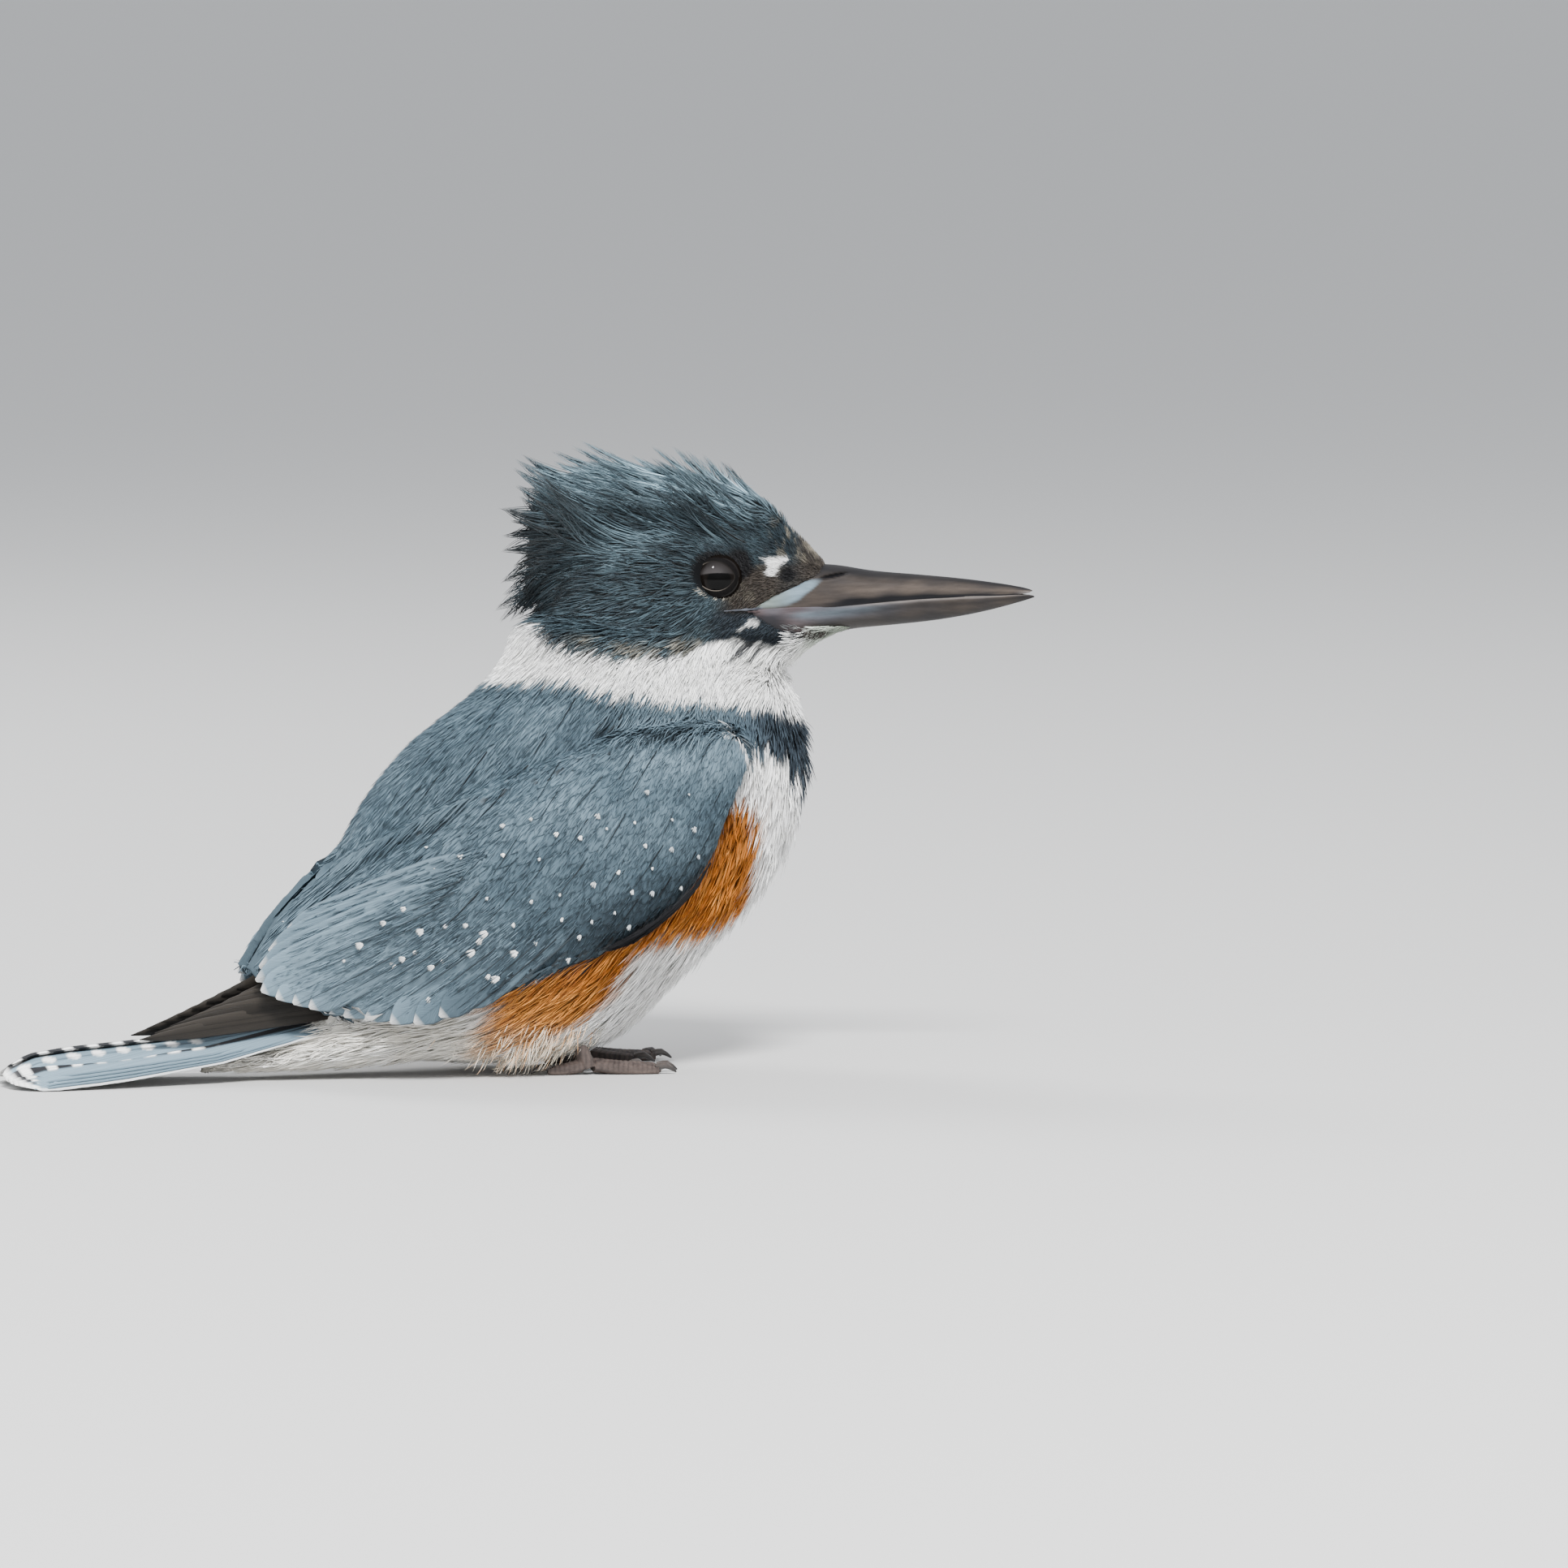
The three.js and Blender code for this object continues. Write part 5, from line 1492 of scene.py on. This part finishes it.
def makeEye(side, plan):
    sign, centre = sides[side], middleOf("eye_" + side)
    t = np.concatenate([np.linspace(0.01, 1.3, 70), np.linspace(1.35, math.pi - 0.02, 20)])
    a = turns(110)
    out = ((plan["radius"] + plan["bulge"] * ramp(0.55, 0.0, t)) * np.cos(t))[:, None] + 0 * a
    wide = (plan["radius"] * np.sin(t))[:, None]
    place = lambda ahead, up, outward: (centre + mm * (ahead[..., None] * headAhead + up[..., None] * headUp
                                                       + sign * outward[..., None] * headLeft))
    verts, faces = loftMesh(place(wide * np.cos(a) * sign, wide * np.sin(a), out))
    ball = meshPiece("eyeball_" + side, verts, [f[:, ::-1] for f in faces], eyeMaterial)
    off = (verts - centre) / mm
    ahead, up = off @ headAhead, off @ headUp
    fromAxis = np.where(sign * (off @ headLeft) > 0, np.hypot(ahead, up), 9)
    level = up - plan["horizon"] + 0.03 * ahead ** 2  # painted reflection: above it, the ball is painted as if it mirrored a pale sky
    sky = ramp(-0.12, 0.12, level) * (0.35 + 0.65 * ramp(2.4, 0.2, level))
    sky = sky * ramp(5.4, 3.6, fromAxis) * (0.3 + 0.7 * ramp(3.4, -1.0, ahead))
    pupil = ramp(plan["pupil"] + 0.2, plan["pupil"] - 0.2, fromAxis)
    paint(ball, "coat", layered(eyeColours["iris"] + 0 * verts, (eyeColours["pupil"], pupil),
                                (eyeColours["paintedSkyReflection"], sky)))
    dress(ball, ("eye_" + side,))
    # the rim: from the ball, over a rounded edge, out to the coat
    a = turns(96)
    corner = 1 + 0.10 * np.cos(a) ** 8
    crease = 0.05 * lumps(fromHead(60 * np.cos(a), 0, 60 * np.sin(a)), 14, 31)
    rings = []
    for grow, height, share, _ in plan["lid"]:
        x0 = (plan["opening"][0] + grow) * corner * np.cos(a)
        z0 = (plan["opening"][1] + grow) * np.sin(a)
        x = x0 * math.cos(plan["tilt"]) - z0 * math.sin(plan["tilt"]) + plan["centre"][0]
        z = x0 * math.sin(plan["tilt"]) + z0 * math.cos(plan["tilt"]) + plan["centre"][1]
        x = x + (plan["brim"][0] + plan["brim"][2] * np.cos(a) - x) * share
        z = z + (plan["brim"][1] + plan["brim"][3] * np.sin(a) - z) * share
        gap = np.minimum(np.hypot(x, z), plan["reach"])
        rings.append(place(x, z, np.sqrt(plan["radius"] ** 2 - gap ** 2) + height + crease * (grow > 0)))
    rim = np.concatenate(rings)
    count, around = len(rings), len(a)
    i, k = np.meshgrid(np.arange(around), np.arange(count))
    here, there = k * around, (k + 1) % count * around
    after = (i + 1) % around
    quads = np.stack([here + i, here + after, there + after, there + i], -1).reshape(-1, 4)
    ring = meshPiece("eyerim_" + side, rim, [quads[:, ::-1] if sign > 0 else quads], rimMaterial)
    low = ramp(0.4, -0.5, np.sin(a + 0.9)) * 0.9 + 0.1
    pale = np.array([row[3] for row in plan["lid"]])[:, None] * low[None]
    paint(ring, "coat", mixed(eyeColours["lid"] + 0 * rim, eyeColours["lidEdge"], pale.ravel()))
    dress(ring)


for side in sides:
    makeEye(side, eyePlan)
report("eyes")

# the bill: rows of mm ahead of the eyes, lowest, highest and half width
billPlan = {
    "upper": [(4, -7.9, -4.5, 10.9), (9, -7.7, -2.2, 11.5), (13, -7.55, 0.4, 11.1), (17, -7.45, 2.1, 10.3),
              (22, -7.2, 2.9, 9.2), (27, -6.9, 2.85, 8.1), (38, -6.0, 1.3, 6.3), (48.5, -5.3, 0.4, 4.9),
              (57.5, -4.95, -0.4, 3.8), (66.7, -4.7, -1.5, 2.6), (72.5, -4.45, -2.4, 1.6),
              (75.2, -4.2, -2.95, 0.95), (76.4, -3.95, -3.3, 0.5), (77.0, -3.7, -3.55, 0.08)],
    "lower": [(4, -9.0, -7.6, 10.6), (9, -11.0, -7.6, 11.7), (13, -13.0, -7.6, 11.5),
              (17, -14.0, -7.5, 10.7),
              (22, -14.2, -7.35, 9.4), (27, -13.85, -7.05, 8.0), (34.5, -12.8, -6.4, 6.6),
              (42.5, -12.05, -5.8, 5.5), (54.4, -10.7, -5.1, 4.1), (66.7, -8.35, -4.8, 2.6),
              (72.5, -6.8, -4.65, 1.5),
              (75.4, -5.95, -4.7, 0.85), (76.9, -5.45, -4.85, 0.4), (77.5, -5.2, -5.0, 0.06)],
    "nostril": (28.0, 0.25, 3.8, 0.5, 0.17),  # ahead, up, half length, half height, slope
    "rings": 270, "around": 128,
}
billColours = {
    "horn": (0.020, 0.018, 0.018), "dark": (0.004, 0.004, 0.005), "warm": (0.044, 0.035, 0.029),
    "pale": (0.12, 0.165, 0.198), "moss": (0.11, 0.135, 0.128), "grey": (0.070, 0.075, 0.089),
    "pink": (0.060, 0.043, 0.044), "edge": (0.18, 0.16, 0.15),
}
billColours = {name: np.array(value) for name, value in billColours.items()}
billMaterial = bareMaterial("horn", 900.0, 0.6, {"Roughness": 0.5, "Specular IOR Level": 0.22}, (0.18, 1, 1))


def smoothRow(rows, column, v):  # an eased curve through the rows
    places = np.array([r[0] for r in rows], float)
    values = np.array([r[column] for r in rows], float)
    slopes = np.gradient(values, places)
    k = np.clip(np.searchsorted(places, v) - 1, 0, len(places) - 2)
    span = places[k + 1] - places[k]
    t = (v - places[k]) / span
    return ((1 + 2 * t) * (1 - t) ** 2 * values[k] + t * (1 - t) ** 2 * span * slopes[k]
            + t * t * (3 - 2 * t) * values[k + 1] + t * t * (t - 1) * span * slopes[k + 1])


def makeBill(part, plan):
    rows = plan[part]
    upper = part == "upper"
    x = rows[0][0] + (rows[-1][0] - rows[0][0]) * (1 - (1 - np.linspace(0, 1, plan["rings"])) ** 1.15)
    a = turns(plan["around"])
    low, high, half = (smoothRow(rows, c, x)[:, None] for c in (1, 2, 3))
    c, s = np.cos(a)[None], np.sin(a)[None]
    boxy = 0 if upper else ramp(30, 18, x)[:, None]  # the lower jaw's sides stand upright at its base
    y = half * np.sign(c) * np.abs(c) ** (0.85 - 0.6 * boxy)
    rim, crown = (low, high) if upper else (high, low)  # the cutting edge, and the far ridge
    away = np.clip(s if upper else -s, 0, 1)
    inside = np.clip(-s if upper else s, 0, 1)
    keel = 1 - 0.22 * away ** 1.5 * (1 - boxy)  # narrows towards the ridge
    z = rim + (crown - rim) * away ** 0.9 - (crown - rim) * 0.10 * inside ** 0.7
    y = y * keel
    ahead = x[:, None] + 0 * y
    depth = (z - rim) / (crown - rim)
    if upper:  # a groove runs on from the nostril, and the edge has a lip
        groove = hump(depth + 0.004 * (ahead - 27), 0.70, 0.07) * ramp(22, 28, ahead) * ramp(60, 40, ahead)
        lip = hump(depth, 0.13, 0.07) * ramp(14, 24, ahead) * ramp(76, 66, ahead)
        nx, nz, nl, nh, slope = plan["nostril"]
        slit = np.hypot((ahead - nx) / nl, (z - nz - slope * (ahead - nx)) / nh)
        pit = ramp(1.25, 0.55, slit)
        inset = 0.34 * groove + 0.22 * lip + 1.0 * pit
    else:
        groove = hump(depth, 0.3, 0.1) * ramp(16, 26, ahead) * ramp(62, 46, ahead)
        ridge = hump(depth, 0.62, 0.16) * ramp(14, 22, ahead) * ramp(60, 40, ahead)
        pit = 0 * ahead
        inset = 0.3 * groove - 0.12 * ridge
    y = y - np.sign(y) * np.minimum(inset, np.abs(y) * 0.6)
    verts, faces = loftMesh(fromHead(ahead, y, z))
    piece = meshPiece(part + "_mandible", verts, faces, billMaterial)
    hx, hz, d, pits = (np.append(v.ravel(), [0, 0]) for v in (ahead, z, depth, pit))  # the ends count too
    fine, broad = lumps(verts * [0.35, 1, 1], 1.6, 41), lumps(verts, 7, 42)
    horn, dark, warm, pale, moss, grey, pink, edge = billColours.values()
    colour = mixed(horn + 0 * verts, warm, 0.35 + 0.3 * broad + 0.25 * fine)
    if upper:
        seam = along([(18, 0.05), (36, 0.2), (50, 0.17), (66, 0.12), (76, 0.06)], hx)
        line = along([(9, -6.6), (13.4, -5.6), (16.5, -4.6), (19.5, -3.3), (22.2, -1.9), (26, -0.2)], hx)
        half = along([(9, 0.8), (13.4, 1.5), (16.5, 2.1), (19.5, 2.0), (22.2, 1.4), (25, 0.5)], hx)
        base = np.abs(hz - line) / half + 0.1 * fine  # the patch of pale skin
        skinTone = mixed(moss + 0 * verts, pale, ramp(12, 20, hx))
        colour = layered(
            colour,
            (dark, ramp(0.66, 0.9, d) * 0.8),
            # painted highlight: a lighter warm band along the middle of the upper mandible's side
            (warm * 1.5, hump(d, 0.42, 0.14) * ramp(24, 36, hx) * 0.6),
            (dark, ramp(1.25, 0.6, d / seam + 0.15 * fine) * ramp(19, 32, hx)),
            (skinTone, ramp(1.25, 0.55, base) * ramp(26, 22, hx) * 0.95),
            (edge, ramp(72, 76.5, hx) * ramp(0.6, 0.2, d) * 0.5))
    else:
        colour = layered(
            colour,
            (grey, ramp(52, 30, hx) * ramp(0.75, 0.2, d) * (0.8 + 0.2 * broad)),
            (pink, ramp(30, 16, hx) * (0.55 + 0.35 * fine)),
            (dark * 3, ramp(19, 13, hx) * ramp(-7.9, -9.3, hz + 0.4 * broad) * 0.85),
            # painted reflection: a pale blue-grey stroke where gloss would show on the lower mandible
            (pale * 0.8, hump(d, 0.24, 0.13) * ramp(15, 22, hx) * ramp(44, 28, hx) * (0.5 + 0.2 * fine)),
            (edge, hump(d, 0.03, 0.07) * ramp(26, 40, hx) * ramp(80, 70, hx) * 0.7),
            (dark, hump(d, 0.34, 0.12) * ramp(24, 36, hx) * 0.5),
            (dark, ramp(0.8, 1, d) * ramp(30, 44, hx) * 0.5))
    # painted shade: the nostril's hollow is painted dark
    colour = mixed(colour, dark, pits)
    paint(piece, "coat", np.clip(colour, 0.004, 0.9))
    dress(piece, (part + "_bill",))


makeBill("upper", billPlan)
makeBill("lower", billPlan)


gapePlan = {"front": 17.5, "height": -7.25, "aside": 12.0,
            "lips": [(0.0, 0.3, 16.5, "grey"), (-1.1, 0.4, 10.5, "pink"), (-2.5, 0.42, 4.5, "pink")]}
# each lip: how far it drops, its thickness, length and colour


def makeGape(plan):  # the soft lips that run back from the bill to the corner of the mouth
    lips, tones = [], []
    t, a = np.linspace(0, 1, 40), turns(14)[None, :, None]
    for sign in sides.values():
        for drop, thick, long, colour in plan["lips"]:
            z = plan["height"] - 0.5 * t ** 2 + drop * (1 - 0.75 * t)
            line, normal, _, _ = land(fromHead(plan["front"] - long * t, sign * plan["aside"], z))
            fat = thick * np.sin(math.pi * np.clip(t * 0.9 + 0.08, 0, 1)) ** 0.6 + 0.06 * np.sin(t * 40)
            side = np.cross(unit(np.gradient(line, axis=0)), normal)
            out = np.cos(a) * side[:, None] + np.sin(a) * normal[:, None] * 0.9
            lips.append(loftMesh((line + normal * 0.38 * mm)[:, None] + out * (fat * mm)[:, None, None]))
            tones.append(billColours[colour] * (0.8 + 0.3 * lumps(lips[-1][0], 1.2, 44))[:, None])
    piece = meshPiece("mouth_corners", *joined(lips), billMaterial)
    paint(piece, "coat", np.clip(np.concatenate(tones), 0.01, 0.9))
    dress(piece)


makeGape(gapePlan)
report("bill")

# feet: one supple skin over shank and toes, with rows of scutes, and horn claws
footPlan = {"voxel": 0.24, "clawVoxel": 0.16, "smoothing": 3, "scute": 1.15, "relief": 0.10}
footColours = {"skin": (0.085, 0.064, 0.056), "dark": (0.024, 0.019, 0.018), "pad": (0.13, 0.095, 0.08),
               "claw": (0.022, 0.019, 0.018), "clawRoot": (0.075, 0.062, 0.055)}
footColours = {name: np.array(value) for name, value in footColours.items()}
footMaterial = bareMaterial("footskin", 1800.0, 0.6, {"Roughness": 0.6})
clawMaterial = bareMaterial("clawhorn", 900.0, 0.3, {"Roughness": 0.3, "Coat Weight": 0.3,
                                                     "Coat Roughness": 0.2})
toeNames = ("inner", "middle", "outer", "hind")


def makeFoot(side, plan):
    parts = ["leg_" + side] + ["toe_%s_%s" % (toe, side) for toe in toeNames]
    foot = remeshed("foot_" + side, [weldedCopy(n, 0.05) for n in parts], plan["voxel"], plan["smoothing"],
                    footMaterial)
    verts, normals = meshArrays(foot.data)
    hub = [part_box("leg_" + side)[1][0], middleOf("leg_" + side)[1]]
    reach = np.linalg.norm(verts[:, :2] - hub, axis=1) / mm
    lift = verts[:, 2] / mm
    top = ramp(-0.2, 0.6, normals[:, 2])
    bands = np.abs(np.sin(reach / plan["scute"] * math.pi)) ** 0.5
    verts += normals * (plan["relief"] * (bands - 0.7) * top * mm)[:, None]
    verts[:, 2] = np.maximum(verts[:, 2], 0.0)
    moveVerts(foot.data, verts)
    colour = layered(footColours["dark"] + 0 * verts,
                     (footColours["skin"], bands * 0.6 + 0.25 * lumps(verts, 2, 51)),
                     (footColours["pad"], ramp(1.2, 0.3, lift) * 0.7))
    paint(foot, "coat", np.clip(colour, 0.01, 0.9))
    dress(foot, parts)
    claws = ["claw_%s_%s" % (toe, side) for toe in toeNames]
    horn = remeshed("claws_" + side, [weldedCopy(n) for n in claws], plan["clawVoxel"], plan["smoothing"],
                    clawMaterial)
    points, _ = meshArrays(horn.data)
    paint(horn, "coat", mixed(footColours["claw"] + 0 * points, footColours["clawRoot"],
                              ramp(1.2, 2.4, points[:, 2] / mm) * 0.6))
    dress(horn, claws)


for side in sides:
    makeFoot(side, footPlan)
report("feet")


# the studio: a pale floor and soft lights
studio = {
    "reach": 40, "floor": (0.50, 0.497, 0.49), "horizon": (0.575, 0.58, 0.59), "zenith": (1.15, 1.2, 1.28),
    "lights": {"key": ((-0.1, -1.3, 1.6), 0.55, 112), "fill": ((-1.6, -0.9, 0.6), 1.3, 10),
               "rim": ((-0.6, 1.2, 1.3), 0.8, 30), "glint": ((-1.05, -0.7, 1.8), 0.28, 30)},
}


def makeStudio(plan):
    material, tree, shader = principled("floor", {"Roughness": 0.75})
    grain = node(tree, "ShaderNodeTexNoise", {"Scale": 3.0, "Detail": 5.0}).outputs["Fac"]
    feed(tree, shader, {"Base Color": scaled(tree, plan["floor"], ranged(tree, grain, 0, 1, 0.97, 1.03))})
    corners = np.array([[-1, -1, 0], [1, -1, 0], [1, 1, 0], [-1, 1, 0]], float) * plan["reach"]
    meshPiece("floor", corners, [np.array([[0, 1, 2, 3]])], material, smooth=False)
    for name, (place, size, power) in plan["lights"].items():
        data = bpy.data.lights.new(name, "AREA")
        data.shape = "DISK"
        data.size, data.energy = size, power
        lamp = bpy.data.objects.new(name, data)
        bpy.context.collection.objects.link(lamp)
        lamp.location = place
        lamp.visible_glossy = name == "glint"  # only this one is mirrored in the eye and the horn
        lamp.visible_diffuse = name != "glint"
        lamp.rotation_mode = "QUATERNION"
        lamp.rotation_quaternion = (Vector((0, 0, 0.07)) - Vector(place)).to_track_quat("-Z", "Y")
    world = bpy.data.worlds.new("studio")
    bpy.context.scene.world = world
    world.use_nodes = True
    tree = world.node_tree
    way = node(tree, "ShaderNodeTexCoord").outputs["Generated"]
    parts = node(tree, "ShaderNodeSeparateXYZ", {0: way}).outputs
    blend = node(tree, "ShaderNodeValToRGB", {"Fac": ranged(tree, parts[2], 0.1, 0.9, 0, 1)})
    for stop, tint in zip(blend.color_ramp.elements, ("horizon", "zenith")):
        stop.color = (*plan[tint], 1)
    feed(tree, tree.nodes["Background"], {"Color": blend.outputs["Color"]})


makeStudio(studio)
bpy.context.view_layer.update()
report("finished")
